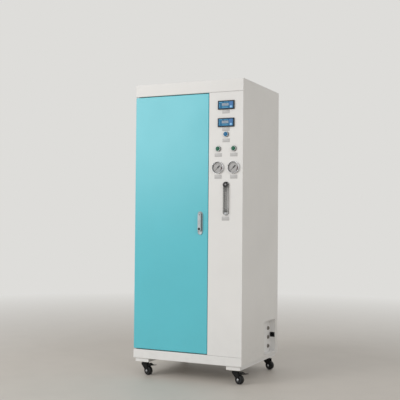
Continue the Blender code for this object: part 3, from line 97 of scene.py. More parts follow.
CAMERA_OFFSET = Vector((1.56824, -3.88940, 0.88195))
CAMERA_HEADING = 25.0722
CAMERA_RISE = 1.4551
CAMERA_ROLL = 0.5038


# Places in the flow meter: reach is where its stubs end, and half is half the block's height

FlowPlaces = namedtuple("FlowPlaces", "axis front back wide reach half knob_z")


# Colours and places

def paint(red, green, blue):
    """Turns a screen colour, 0 to 255, into Blender's linear values."""
    def linear(value):
        share = value / 255
        return share / 12.92 if share <= 0.04045 else ((share + 0.055) / 1.055) ** 2.4
    return linear(red), linear(green), linear(blue)


def span(node):
    """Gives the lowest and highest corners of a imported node's box, and its middle."""
    low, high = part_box(node)
    return low, high, (low + high) / 2


def front_face():
    """Gives the Y of the instrument panel's front face."""
    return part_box("instrument_panel")[0].y


# Modelling

def clear_selection():
    """Leaves edit mode and deselects everything, ready for the next piece."""
    if bpy.context.mode != "OBJECT":
        bpy.ops.object.mode_set(mode="OBJECT")
    bpy.ops.object.select_all(action="DESELECT")


def take(thing):
    """Makes one object the only one selected, and the active one."""
    clear_selection()
    thing.select_set(True)
    bpy.context.view_layer.objects.active = thing
    return thing


def settle(thing, place=(0, 0, 0), facing="up", turn=0.0):
    """Turns and moves a new piece, and writes its place into its mesh."""
    take(thing)
    bpy.ops.object.transform_apply(location=True, rotation=True, scale=True)
    thing.rotation_euler = FACING[facing]
    bpy.ops.object.transform_apply(location=False, rotation=True, scale=False)
    thing.rotation_euler = (0, 0, turn)
    thing.location = place
    bpy.ops.object.transform_apply(location=True, rotation=True, scale=False)
    return thing


def apply_modifier(thing, kind, **settings):
    """Adds a modifier, sets it and applies it."""
    take(thing)
    modifier = thing.modifiers.new(kind.title(), kind)
    for name, value in settings.items():
        setattr(modifier, name, value)
    bpy.ops.object.modifier_apply(modifier=modifier.name)
    return thing


def eased(thing, width, segments=2, angle=30):
    """Rounds the sharp edges of a piece."""
    return apply_modifier(thing, "BEVEL", width=width, segments=segments, limit_method="ANGLE",
                          angle_limit=math.radians(angle), use_clamp_overlap=True)


def cut(thing, *tools):
    """Cuts shapes out of a piece and removes them."""
    for tool in tools:
        apply_modifier(thing, "BOOLEAN", operation="DIFFERENCE", object=tool, solver="EXACT")
        bpy.data.objects.remove(tool)
    return thing


def welded(thing, *others):
    """Joins shapes that touch into one body."""
    for other in others:
        apply_modifier(thing, "BOOLEAN", operation="UNION", object=other, solver="EXACT")
        bpy.data.objects.remove(other)
    return thing


def together(thing, *others):
    """Puts separate shapes of one finish into one piece."""
    take(thing)
    for other in others:
        other.select_set(True)
    bpy.ops.object.join()
    return thing


def dial_angle(share):
    """Gives the turn from the top of a dial, in radians, at a share of its sweep."""
    return math.radians(DIAL_START + DIAL_SWEEP * share)


def copied(thing):
    """Copies a piece with its own mesh."""
    twin = thing.copy()
    twin.data = thing.data.copy()
    bpy.context.collection.objects.link(twin)
    return twin


def lathe(profile, place=(0, 0, 0), facing="up", segments=48, turn=0.0):
    """Turns a piece from a disc: one extrusion and one scaling for each step of its profile."""
    clear_selection()
    radius, height = profile[0]
    bpy.ops.mesh.primitive_circle_add(vertices=segments, radius=radius, fill_type="NGON",
                                      location=(0, 0, height))
    thing = bpy.context.active_object
    bpy.ops.object.mode_set(mode="EDIT")
    bpy.ops.mesh.select_mode(type="FACE")
    bpy.ops.mesh.select_all(action="SELECT")
    for (old_radius, old_height), (radius, height) in zip(profile, profile[1:]):
        rise = (0, 0, height - old_height)
        bpy.ops.mesh.extrude_region_move(TRANSFORM_OT_translate={"value": rise})
        share = radius / old_radius
        bpy.ops.transform.resize(value=(share, share, 1), center_override=(0, 0, height))
    bpy.ops.mesh.select_all(action="SELECT")
    bpy.ops.mesh.normals_make_consistent(inside=False)
    bpy.ops.object.mode_set(mode="OBJECT")
    return settle(thing, place, facing, turn)


def block(low, high, edge=0.0):
    """Makes a box between two corners and rounds its edges."""
    clear_selection()
    low, high = Vector(low), Vector(high)
    bpy.ops.mesh.primitive_cube_add(size=1, location=(low + high) / 2)
    thing = bpy.context.active_object
    thing.scale = high - low
    bpy.ops.object.transform_apply(location=True, rotation=False, scale=True)
    if edge:
        bpy.ops.object.mode_set(mode="EDIT")
        bpy.ops.mesh.select_all(action="SELECT")
        bpy.ops.mesh.bevel(offset=edge, segments=2, affect="EDGES")
        bpy.ops.object.mode_set(mode="OBJECT")
    return thing


def slab(width, height, depth, corner, place, facing="front", edge=0.0, corner_segments=6):
    """Makes a plate with rounded corners: a plane, its corners bevelled, then extruded forward."""
    clear_selection()
    bpy.ops.mesh.primitive_plane_add(size=1)
    thing = bpy.context.active_object
    thing.scale = (width, height, 1)
    bpy.ops.object.transform_apply(location=False, rotation=False, scale=True)
    bpy.ops.object.mode_set(mode="EDIT")
    bpy.ops.mesh.select_all(action="SELECT")
    if corner:
        bpy.ops.mesh.bevel(offset=corner, segments=corner_segments, affect="VERTICES")
        bpy.ops.mesh.select_all(action="SELECT")
    bpy.ops.mesh.extrude_region_move(TRANSFORM_OT_translate={"value": (0, 0, depth)})
    if edge:
        bpy.ops.mesh.bevel(offset=edge, segments=2, affect="EDGES")
    bpy.ops.mesh.select_all(action="SELECT")
    bpy.ops.mesh.remove_doubles(threshold=0.00001)
    bpy.ops.mesh.normals_make_consistent(inside=False)
    bpy.ops.object.mode_set(mode="OBJECT")
    return settle(thing, place, facing)


def nut(radius, low, high, place, facing="up", edge=0.0006):
    """Makes a six-sided nut with eased corners."""
    clear_selection()
    bpy.ops.mesh.primitive_cylinder_add(vertices=6, radius=radius, depth=high - low,
                                        location=(0, 0, (low + high) / 2))
    thing = bpy.context.active_object
    bpy.ops.object.mode_set(mode="EDIT")
    bpy.ops.mesh.select_all(action="SELECT")
    bpy.ops.mesh.bevel(offset=edge, segments=2, affect="EDGES")
    bpy.ops.object.mode_set(mode="OBJECT")
    return settle(thing, place, facing)


def pipe(points, radius, bend, steps=8):
    """Runs a round pipe along points, with a bend of one size at each corner."""
    points = [Vector(point) for point in points]
    route = [points[0]]
    for before, corner, after in zip(points, points[1:], points[2:]):
        start = corner + (before - corner).normalized() * bend
        end = corner + (after - corner).normalized() * bend
        for step in range(steps + 1):
            share = step / steps
            route.append(start.lerp(corner, share).lerp(corner.lerp(end, share), share))
    route.append(points[-1])
    curve = bpy.data.curves.new("pipe", "CURVE")
    curve.dimensions = "3D"
    curve.bevel_depth = radius
    curve.bevel_resolution = 3
    curve.use_fill_caps = True
    spline = curve.splines.new("POLY")
    spline.points.add(len(route) - 1)
    for point, spot in zip(spline.points, route):
        point.co = (*spot, 1)
    thing = bpy.data.objects.new("pipe", curve)
    bpy.context.collection.objects.link(thing)
    take(thing)
    bpy.ops.object.convert(target="MESH")
    return bpy.context.active_object


def figure(number, height, place, depth):
    """Makes a plain number as a thin raised figure that faces the front, centred on a place."""
    clear_selection()
    bpy.ops.object.text_add()
    thing = bpy.context.active_object
    thing.data.body = str(number)
    thing.data.size = height
    thing.data.align_x = "CENTER"
    thing.data.align_y = "CENTER"
    thing.data.extrude = depth
    thing.data.resolution_u = 2
    bpy.ops.object.convert(target="MESH")
    return settle(bpy.context.active_object, place, "front")


def spun(thing, angle, centre, axis="Y"):
    """Turns a piece about a centre, right-handed about one axis."""
    take(thing)
    bpy.ops.transform.rotate(value=-angle, orient_axis=axis, center_override=centre)
    bpy.ops.object.transform_apply(location=True, rotation=True, scale=False)
    return thing


def ring_of(thing, count, centre):
    """Copies a piece evenly round an upright line through a centre and joins the copies to it."""
    copies = [spun(copied(thing), math.tau * index / count, centre, "Z")
              for index in range(1, count)]
    return together(thing, *copies)


def seat(thing, name, body, material, slot, *nodes, angle=35):
    """Names a finished piece, smooths it, gives it its finish and lets it ride on its body."""
    take(thing)
    bpy.ops.object.shade_smooth_by_angle(angle=math.radians(angle))
    thing.name = name
    thing.data.name = name
    thing.data.materials.clear()
    thing.data.materials.append(material)
    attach(thing, body)
    if nodes:
        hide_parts(*nodes)
    return thing


def dress(material, *nodes):
    """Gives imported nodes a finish."""
    for node in nodes:
        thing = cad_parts[node]
        thing.data.materials.clear()
        thing.data.materials.append(material)


# Shader writing

class Value:
    """A number in a shader. Arithmetic on it adds the Math nodes that work it out."""

    def __init__(self, finish, socket):
        self.finish = finish
        self.socket = socket

    def math(self, operation, *others):
        """Adds one Math node on this value and others."""
        inputs = dict(enumerate((self, *others)))
        return Value(self.finish, self.finish.node("ShaderNodeMath", {"operation": operation}, inputs))

    def __add__(self, other):
        return self.math("ADD", other)

    __radd__ = __add__

    def __sub__(self, other):
        return self.math("SUBTRACT", other)

    def __rsub__(self, other):
        return (self * -1) + other

    def __mul__(self, other):
        return self.math("MULTIPLY", other)

    __rmul__ = __mul__

    def __truediv__(self, other):
        return self.math("DIVIDE", other)

    def __pow__(self, other):
        return self.math("POWER", other)

    def clamped(self):
        """Keeps the value between 0 and 1."""
        return self.math("MAXIMUM", 0.0).math("MINIMUM", 1.0)

    def step(self, low, high):
        """Rises from 0 to 1 as the value goes from low to high."""
        return ((self - low) / (high - low)).clamped()


class Nodes:
    """A tree of shader nodes, of a material or of the world."""

    def __init__(self, tree):
        self.tree = tree

    def node(self, kind, settings=None, inputs=None, output=0):
        """Adds a node, sets it, links or fills its sockets and gives one of its outputs."""
        made = self.tree.nodes.new(kind)
        for name, value in (settings or {}).items():
            setattr(made, name, value)
        for name, value in (inputs or {}).items():
            if isinstance(value, Value):
                value = value.socket
            if isinstance(value, bpy.types.NodeSocket):
                self.tree.links.new(value, made.inputs[name])
            else:
                made.inputs[name].default_value = value
        return made.outputs[output]

    def seen_rays(self):
        """Gives 1 where the camera, a reflection or clear material looks, and 0 for the lighting."""
        path = self.node("ShaderNodeLightPath").node
        names = ("Is Camera Ray", "Is Glossy Ray", "Is Transmission Ray")
        camera, glossy, through = (Value(self, path.outputs[name]) for name in names)
        return camera.math("MAXIMUM", glossy).math("MAXIMUM", through)


class Finish(Nodes):
    """One material, with its nodes added as they are needed."""

    def __init__(self, name, colour, roughness, metallic=0.0, **constants):
        self.material = bpy.data.materials.new(name)
        self.material.use_nodes = True
        super().__init__(self.material.node_tree)
        self.surface = self.tree.nodes["Principled BSDF"]
        constants.update(base_color=(*colour, 1.0), roughness=roughness, metallic=metallic)
        for name, value in constants.items():
            socket = name.replace("_", " ").title().replace("Ior", "IOR")
            self.surface.inputs[socket].default_value = value
        self.place = self.node("ShaderNodeTexCoord", output="Object")

    def axes(self):
        """Gives the X, Y and Z of the surface as values."""
        parts = self.node("ShaderNodeSeparateXYZ", inputs={0: self.place}).node
        return [Value(self, socket) for socket in parts.outputs]

    def noise(self, scale, detail):
        """Gives a noise pattern from 0 to 1, with so many cells to the metre."""
        return Value(self, self.node("ShaderNodeTexNoise", inputs={
            "Vector": self.place, "Scale": scale, "Detail": detail}))

    def tint(self, other, share):
        """Mixes another colour into the base colour where the share says."""
        base = self.surface.inputs["Base Color"]
        first = base.links[0].from_socket if base.links else tuple(base.default_value)
        mixed = self.node("ShaderNodeMix", {"data_type": "RGBA"},
                          {0: share, 6: first, 7: (*other, 1.0)}, output=2)
        self.tree.links.new(mixed, base)
        return self

    def rough(self, value):
        """Links the roughness to a value."""
        self.tree.links.new(value.socket, self.surface.inputs["Roughness"])
        return self

    def bump(self, height, distance):
        """Raises the surface by a height pattern, up to a distance in metres."""
        normal = self.surface.inputs["Normal"]
        inputs = {"Height": height, "Distance": distance, "Strength": 1.0}
        if normal.links:
            inputs["Normal"] = normal.links[0].from_socket
        self.tree.links.new(self.node("ShaderNodeBump", inputs=inputs), normal)
        return self


def shade(colour, share):
    """Gives a lighter or darker version of a colour."""
    return tuple(min(1.0, value * share) for value in colour)


def sheet_paint(name, colour, roughness, grain, gloss=0.5):
    """Sprayed sheet metal: fine peel, slight waves, and darker, rougher patches towards the bottom."""
    finish = Finish(name, colour, roughness, specular_ior_level=gloss)
    cloud = finish.noise(3.5, 3.0)
    fine = finish.noise(1 / grain, 2.0)
    height = finish.axes()[2]
    low = 1 - height.step(0.08, 0.30)
    finish.tint(shade(colour, 0.955), cloud.step(0.35, 0.75))
    # Darker patches low down, fading out between 0.08 m and 0.30 m of height
    finish.tint(shade(colour, 0.86), low * finish.noise(28.0, 4.0).step(0.45, 0.85) * 0.5)
    finish.rough(cloud.step(0.2, 0.8) * 0.06 + (roughness - 0.03) + low * 0.08)
    finish.bump(fine, grain / 50)
    finish.bump(finish.noise(2.2, 1.0), 0.0012)
    return finish.material


def bright_metal(name, colour, roughness, grain=0.0004, metallic=1.0):
    """Plated or brushed metal: a fine grain with faint handling marks."""
    finish = Finish(name, colour, roughness, metallic)
    hair = finish.noise(1 / grain, 3.0)
    marks = finish.noise(60.0, 4.0)
    finish.tint(shade(colour, 0.82), marks.step(0.45, 0.8) * 0.6)
    finish.rough(hair * 0.12 + (roughness - 0.06) + marks.step(0.5, 0.8) * 0.08)
    finish.bump(hair, grain / 25)
    return finish.material


def moulded(name, colour, roughness, grain=0.0008, wear=1.4, **constants):
    """Moulded plastic or rubber: a fine spark grain and slightly paler rubbed patches."""
    finish = Finish(name, colour, roughness, **constants)
    fine = finish.noise(1 / grain, 2.0)
    patches = finish.noise(45.0, 4.0)
    finish.tint(shade(colour, wear), patches.step(0.5, 0.8) * 0.35)
    finish.rough(patches * 0.12 + (roughness - 0.06))
    finish.bump(fine, grain / 30)
    return finish.material


def lens(name, colour):
    """A coloured button cap with a ribbed diffuser under a satin face."""
    finish = Finish(name, colour, 0.42, specular_ior_level=0.3)
    ribs = Value(finish, finish.node("ShaderNodeTexWave", {"bands_direction": "DIAGONAL"},
                                     {"Vector": finish.place, "Scale": 160.0}))
    cloud = finish.noise(150.0, 2.0)
    finish.tint(shade(colour, 1.5), cloud.step(0.5, 0.8) * 0.3)
    finish.rough(cloud * 0.1 + 0.38)
    finish.bump(ribs, 0.00004)
    return finish.material


def clear(name, colour, alpha, roughness=0.04):
    """Clear glass, water or acrylic with faint smears."""
    finish = Finish(name, colour, roughness, alpha=alpha, specular_ior_level=0.12)
    smear = finish.noise(40.0, 3.0)
    finish.rough(smear.step(0.5, 0.85) * 0.10 + roughness)
    finish.tint(shade(colour, 0.9), smear.step(0.4, 0.8) * 0.5)
    return finish.material


def printed(name, colour, roughness=0.45, gloss=0.5):
    """A printed or anodised face: even colour with a faint mottle and a fine tooth."""
    finish = Finish(name, colour, roughness, specular_ior_level=gloss)
    mottle = finish.noise(260.0, 3.0)
    finish.tint(shade(colour, 0.88), mottle.step(0.4, 0.8) * 0.5)
    finish.rough(mottle * 0.1 + (roughness - 0.05))
    finish.bump(finish.noise(2500.0, 1.0), 0.00001)
    return finish.material


def wound_fibre(name, colour):
    """A fibre-wound tank: crossed helical bands under resin."""
    finish = Finish(name, colour, 0.4, coat_weight=0.2)
    x, y, z = finish.axes()
    around = (x + y) * 90.0
    one = (around + z * 60.0).math("SINE") * 0.5 + 0.5
    two = (around * -1 + z * 60.0).math("SINE") * 0.5 + 0.5
    bands = one * 0.5 + two * 0.5
    finish.tint(shade(colour, 1.35), bands.step(0.5, 0.9) * 0.35)
    finish.rough(bands * 0.12 + 0.34)
    finish.bump(bands, 0.0006)
    finish.bump(finish.noise(900.0, 2.0), 0.00005)
    return finish.material


# Settings

def colour_of(name, about, value):
    """Declares a colour that a user can change."""
    return bpy.props.FloatVectorProperty(name=name, description=about, subtype="COLOR",
                                         size=3, min=0.0, max=1.0, default=value)


def length_of(name, about, value):
    """Declares a length that a user can change."""
    return bpy.props.FloatProperty(name=name, description=about, unit="LENGTH",
                                   precision=4, min=0.0, default=value)


def share_of(name, about, value):
    """Declares a share from 0 to 1 that a user can change."""
    return bpy.props.FloatProperty(name=name, description=about, subtype="FACTOR",
                                   min=0.0, max=1.0, default=value)


class CabinetLooks(bpy.types.PropertyGroup):
    """Paint of the cabinet and the door."""
    white: colour_of("White", "Paint of the front, top and base", paint(227, 226, 224))
    side: colour_of("Side white", "Paint of the two sides", paint(219, 217, 213))
    teal: colour_of("Door", "Paint of the door", paint(94, 192, 205))
    seal: colour_of("Seal", "Rubber of the door's seal", paint(34, 34, 36))
    grain: length_of("Paint grain", "Size of one cell of the paint's peel", 0.0016)
    white_roughness: share_of("White roughness", "Roughness of the white paint", 0.5)
    side_roughness: share_of("Side roughness", "Roughness of the side paint", 0.30)
    teal_roughness: share_of("Door roughness", "Roughness of the door paint", 0.30)


class LockLooks(bpy.types.PropertyGroup):
    """The folding-lever lock."""
    chrome: colour_of("Chrome", "Plating of the plate and lever", paint(172, 179, 182))
    key: colour_of("Key cylinder", "Face of the key cylinder", paint(16, 15, 16))
    dish_width: length_of("Dish width", "Width of the dish that the lever lies in", 0.0235)
    dish_depth: length_of("Dish depth", "Depth of the dish", 0.0022)
    lever_edge: length_of("Lever edge", "Radius along the lever's front edges", 0.0022)


class MeterLooks(bpy.types.PropertyGroup):
    """The two panel meters."""
    case: colour_of("Case", "Moulding of the meter's case", paint(9, 14, 24))
    face: colour_of("Face", "Printed face of the meter", paint(28, 104, 146))
    side: colour_of("Face, key side", "Printed face beside the key", paint(70, 118, 174))
    glass: colour_of("Display", "Display window", paint(130, 148, 166))
    mark: colour_of("Marks", "Printed rules on the face", paint(104, 176, 212))
    key: colour_of("Key", "The key on the face", paint(128, 184, 232))
    face_thickness: length_of("Face thickness", "How thick the printed face is", 0.0004)
    window_width: length_of("Window width", "Width of the display window", 0.039)
    window_height: length_of("Window height", "Height of the display window", 0.0142)
    digit_height: length_of("Digit height", "Height of the display's figures", 0.0090)


class ButtonLooks(bpy.types.PropertyGroup):
    """The three pushbuttons."""
    ring: colour_of("Ring", "Plating of the buttons' rings", paint(240, 242, 244))
    blue: colour_of("Blue cap", "Lens of the blue button", paint(26, 102, 146))
    green: colour_of("Green cap", "Lens of the green buttons", paint(14, 92, 66))
    # The collar's black is painted shade at the foot of each button ring
    collar: colour_of("Collar", "Black collar between ring and panel", paint(12, 12, 14))
    block: colour_of("Contact block", "Moulding behind the panel", paint(60, 62, 66))
    ring_edge: length_of("Ring edge", "Radius of the ring's outer edge", 0.0009)
    ring_proud: length_of("Ring height", "How far the ring stands out of the panel", 0.0090)
    collar_height: length_of("Collar height", "Height of the black collar", 0.0070)


class GaugeLooks(bpy.types.PropertyGroup):
    """The two pressure gauges."""
    case: colour_of("Case", "Plated ring and case", paint(214, 214, 216))
    # The lining's near-black is painted shade on the inner wall of each gauge ring
    lining: colour_of("Lining", "Black lining between the dial and the glass", paint(46, 43, 44))
    dial: colour_of("Dial", "Printed dial", paint(176, 174, 173))
    ink: colour_of("Ink", "Numbers, marks and the needle", paint(6, 5, 6))
    red: colour_of("Red band", "Band of the dial that warns", paint(78, 10, 20))
    glass: colour_of("Glass", "Glass over the dial", paint(238, 242, 244))
    number_height: length_of("Number height", "Height of the dial's numbers", 0.0052)
    divisions: bpy.props.IntProperty(name="Divisions", description="Marks round the dial",
                                     min=5, max=100, default=50)


class FlowLooks(bpy.types.PropertyGroup):
    """The float flow meter."""
    acrylic: colour_of("Acrylic", "The clear block", paint(214, 214, 212))
    back: colour_of("Back plate", "Milky plate behind the tube", paint(228, 227, 225))
    # The water is real; its grey is painted shade for the tube's darker core
    water: colour_of("Water", "Water in the tapered tube", paint(74, 76, 76))
    fitting: colour_of("Fittings", "Black inserts at both ends of the tube", paint(18, 18, 20))
    steel: colour_of("Steel", "Float and end plug", paint(186, 188, 192))
    cap: colour_of("Knob cap", "Grey cap in the middle of the knob", paint(150, 148, 150))
    ink: colour_of("Scale", "Marks beside the tube", paint(60, 62, 66))
    alpha: share_of("Acrylic cover", "How much the clear block hides", 0.18)
    # How much more the block hides towards its long edges below the knob, which makes them read paler
    frost: share_of("Frosted edges", "How much more the block's long edges hide", 0.28)
    block_behind: length_of("Block behind", "Block's back face, behind the panel's front", 0.018)
    marks: bpy.props.IntProperty(name="Marks", description="Marks on the scale",
                                 min=4, max=60, default=21)


class LabelLooks(bpy.types.PropertyGroup):
    """The bare label plates."""
    plate: colour_of("Plate", "Face of the label plates", paint(186, 185, 184))
    thickness: length_of("Thickness", "How thick a label plate is", 0.0005)
    corner: length_of("Corner", "Corner radius of a label plate", 0.0012)


class CasterLooks(bpy.types.PropertyGroup):
    """The four casters."""
    frame_black: colour_of("Fork", "Paint of the forks, pedals and plates", paint(11, 11, 13))
    tread: colour_of("Tread", "Rubber of the wheels", paint(12, 12, 13))
    # Hub grey: partly the hub's own colour, partly a painted highlight beside the axle bolt
    hub: colour_of("Hub", "Wheel centres", paint(58, 60, 64))
    bolt: colour_of("Bolt", "Axle bolts", paint(188, 190, 194))
    tread_edge: length_of("Tread edge", "Radius of the tread's shoulders", 0.0034)


class BayLooks(bpy.types.PropertyGroup):
    """The connection bay."""
    fitting: colour_of("Fitting", "Moulding of the hose ports", paint(132, 127, 121))
    collet: colour_of("Collet", "Release rings of the hose ports", paint(88, 85, 82))
    inlet: colour_of("Inlet", "Moulding of the mains inlet", paint(24, 24, 26))


class WaterLooks(bpy.types.PropertyGroup):
    """What stands inside the cabinet."""
    tank: colour_of("Tanks", "Fibre-wound resin tanks", paint(40, 92, 150))
    head: colour_of("Heads", "Black tank heads and feet", paint(30, 31, 34))
    vessel: colour_of("Vessel", "White membrane vessel", paint(220, 221, 220))
    steel: colour_of("Clamps", "Clamps, bolts and pipe nuts", paint(180, 182, 186))
    housing: colour_of("Pre-filters", "Bowls of the pre-filters", paint(216, 222, 226))
    cap: colour_of("Pre-filter heads", "Heads of the pre-filters", paint(46, 108, 170))
    motor: colour_of("Pump motor", "Painted motor of the pump", paint(70, 74, 80))
    enclosure: colour_of("Control box", "Moulding of the control box", paint(206, 206, 202))
    tube: colour_of("Tubing", "White water tubing", paint(226, 228, 228))
    tube_radius: length_of("Tube radius", "Outer radius of the tubing", 0.0048)


class StageLooks(bpy.types.PropertyGroup):
    """Floor, lamps and camera."""
    floor: colour_of("Floor", "Colour of the floor", paint(195, 189, 181))
    backdrop: colour_of("Backdrop", "What the camera sees behind the cabinet", paint(222, 221, 218))
    fill: bpy.props.FloatProperty(name="Fill", description="Strength of the light all round",
                                  min=0.0, default=0.62)
    key: bpy.props.FloatProperty(name="Key", description="Watts of the large lamp at the front left",
                                 min=0.0, default=106.0)
    rim: bpy.props.FloatProperty(name="Side lamp", description="Watts of the lamp at the right",
                                 min=0.0, default=31.0)
    lens: bpy.props.FloatProperty(name="Lens", description="Focal length in millimetres",
                                  min=10.0, default=70.47)


GROUPS = {
    "cabinet": CabinetLooks,
    "lock": LockLooks,
    "meters": MeterLooks,
    "buttons": ButtonLooks,
    "gauges": GaugeLooks,
    "flow": FlowLooks,
    "labels": LabelLooks,
    "casters": CasterLooks,
    "bay": BayLooks,
    "water": WaterLooks,
    "stage": StageLooks,
}


class PurifierLooks(bpy.types.PropertyGroup):
    """All the settings of the purifier, one group for each operator."""
    __annotations__ = {name: bpy.props.PointerProperty(type=group)
                       for name, group in GROUPS.items()}


# Operators

class PURIFIER_OT_cabinet(bpy.types.Operator):
    """Paint the sheets of the cabinet and the door"""
    bl_idname = "purifier.cabinet"
    bl_label = "Paint the cabinet"

    def execute(self, context):
        looks = context.scene.purifier.cabinet
        white = sheet_paint("cabinet_white", looks.white, looks.white_roughness, looks.grain, 0.2)
        side = sheet_paint("side_white", looks.side, looks.side_roughness, looks.grain)
        teal = sheet_paint("door_teal", looks.teal, looks.teal_roughness, looks.grain, 0.38)
        zinc = bright_metal("zinc_plate", paint(168, 170, 172), 0.42, 0.004)
        steel = bright_metal("pin_steel", paint(180, 182, 184), 0.3)
        dress(white, "top_cover", "base_tray", "back_panel", "mullion", "instrument_panel",
              "connection_bay", "left_caster_rail", "right_caster_rail")
        dress(side, "left_side_panel", "right_side_panel")
        dress(teal, "door_panel")
        dress(moulded("seal_rubber", looks.seal, 0.75, 0.0012), "door_seal")
        dress(zinc, "filter_bracket")
        dress(steel, "upper_hinge_pin", "lower_hinge_pin")
        return {"FINISHED"}


class PURIFIER_OT_lock(bpy.types.Operator):
    """Build the door's folding-lever lock"""
    bl_idname = "purifier.lock"
    bl_label = "Build the lock"

    def execute(self, context):
        looks = context.scene.purifier.lock
        chrome = bright_metal("lock_chrome", looks.chrome, 0.5, 0.0016, 0.25)
        low, high, centre = span("lock_escutcheon")
        wide, deep, tall = high - low
        plate = slab(wide, tall, deep, wide / 2 - END_FLAT, (centre.x, high.y, centre.z),
                     edge=deep / 4, corner_segments=12)
        dish = slab(looks.dish_width, tall - wide + looks.dish_width, looks.dish_depth * 2,
                    looks.dish_width / 2 - END_FLAT, (centre.x, low.y + looks.dish_depth, centre.z),
                    corner_segments=12)
        eased(cut(plate, dish), 0.0005)
        seat(plate, "lock_plate", "door", chrome, "lock_chrome", "lock_escutcheon")
        self.build_lever(looks, chrome)
        self.build_key(looks)
        dress(chrome, "lock_spindle")
        return {"FINISHED"}

    def build_lever(self, looks, chrome):
        """Shapes the lever's long body with a soft front, and bores it for the key."""
        low, high, centre = span("lock_lever")
        key_low, key_high, key = span("key_cylinder")
        wide, deep = high.x - low.x, high.y - low.y
        shank = wide - 0.003
        lever = slab(shank, high.z - low.z, deep, shank / 2 - END_FLAT,
                     (centre.x, high.y, centre.z), corner_segments=10)
        boss = lathe(((wide / 2, 0), (wide / 2, deep)), (key.x, high.y, low.z + wide / 2), "front")
        eased(welded(lever, boss), looks.lever_edge, 3)
        bore = (key_high.x - key_low.x) / 2 + 0.0003
        cut(lever, lathe(((bore, 0), (bore, deep * 3)), (key.x, high.y + deep, key.z), "front"))
        tongue, tongue_long, overrun = 0.0033, 0.011, 0.01
        cut(lever, block((centre.x - tongue, low.y - overrun, high.z - tongue_long),
                         (centre.x + tongue, high.y + overrun, high.z + overrun)))
        seat(lever, "folding_lever", "lock_lever", chrome, "lock_chrome", "lock_lever")

    def build_key(self, looks):
        """Turns the key cylinder with a raised rim and cuts its slot."""
        low, high, centre = span("key_cylinder")
        radius, deep = (high.x - low.x) / 2, high.y - low.y
        core = lathe(((radius, 0), (radius, deep - 0.0004), (radius - 0.0005, deep),
                      (radius - 0.0012, deep), (radius - 0.0016, deep - 0.0008)),
                     (centre.x, high.y, centre.z), "front")
        slot_half, slot_tall, slot_deep = 0.0009, 0.0042, 0.004
        cut(core, block((centre.x - slot_half, low.y - 0.001, centre.z - slot_tall),
                        (centre.x + slot_half, low.y + slot_deep, centre.z + slot_tall)))
        black = moulded("key_black", looks.key, 0.35)
        seat(core, "key_core", "key_cylinder", black, "key_black", "key_cylinder")


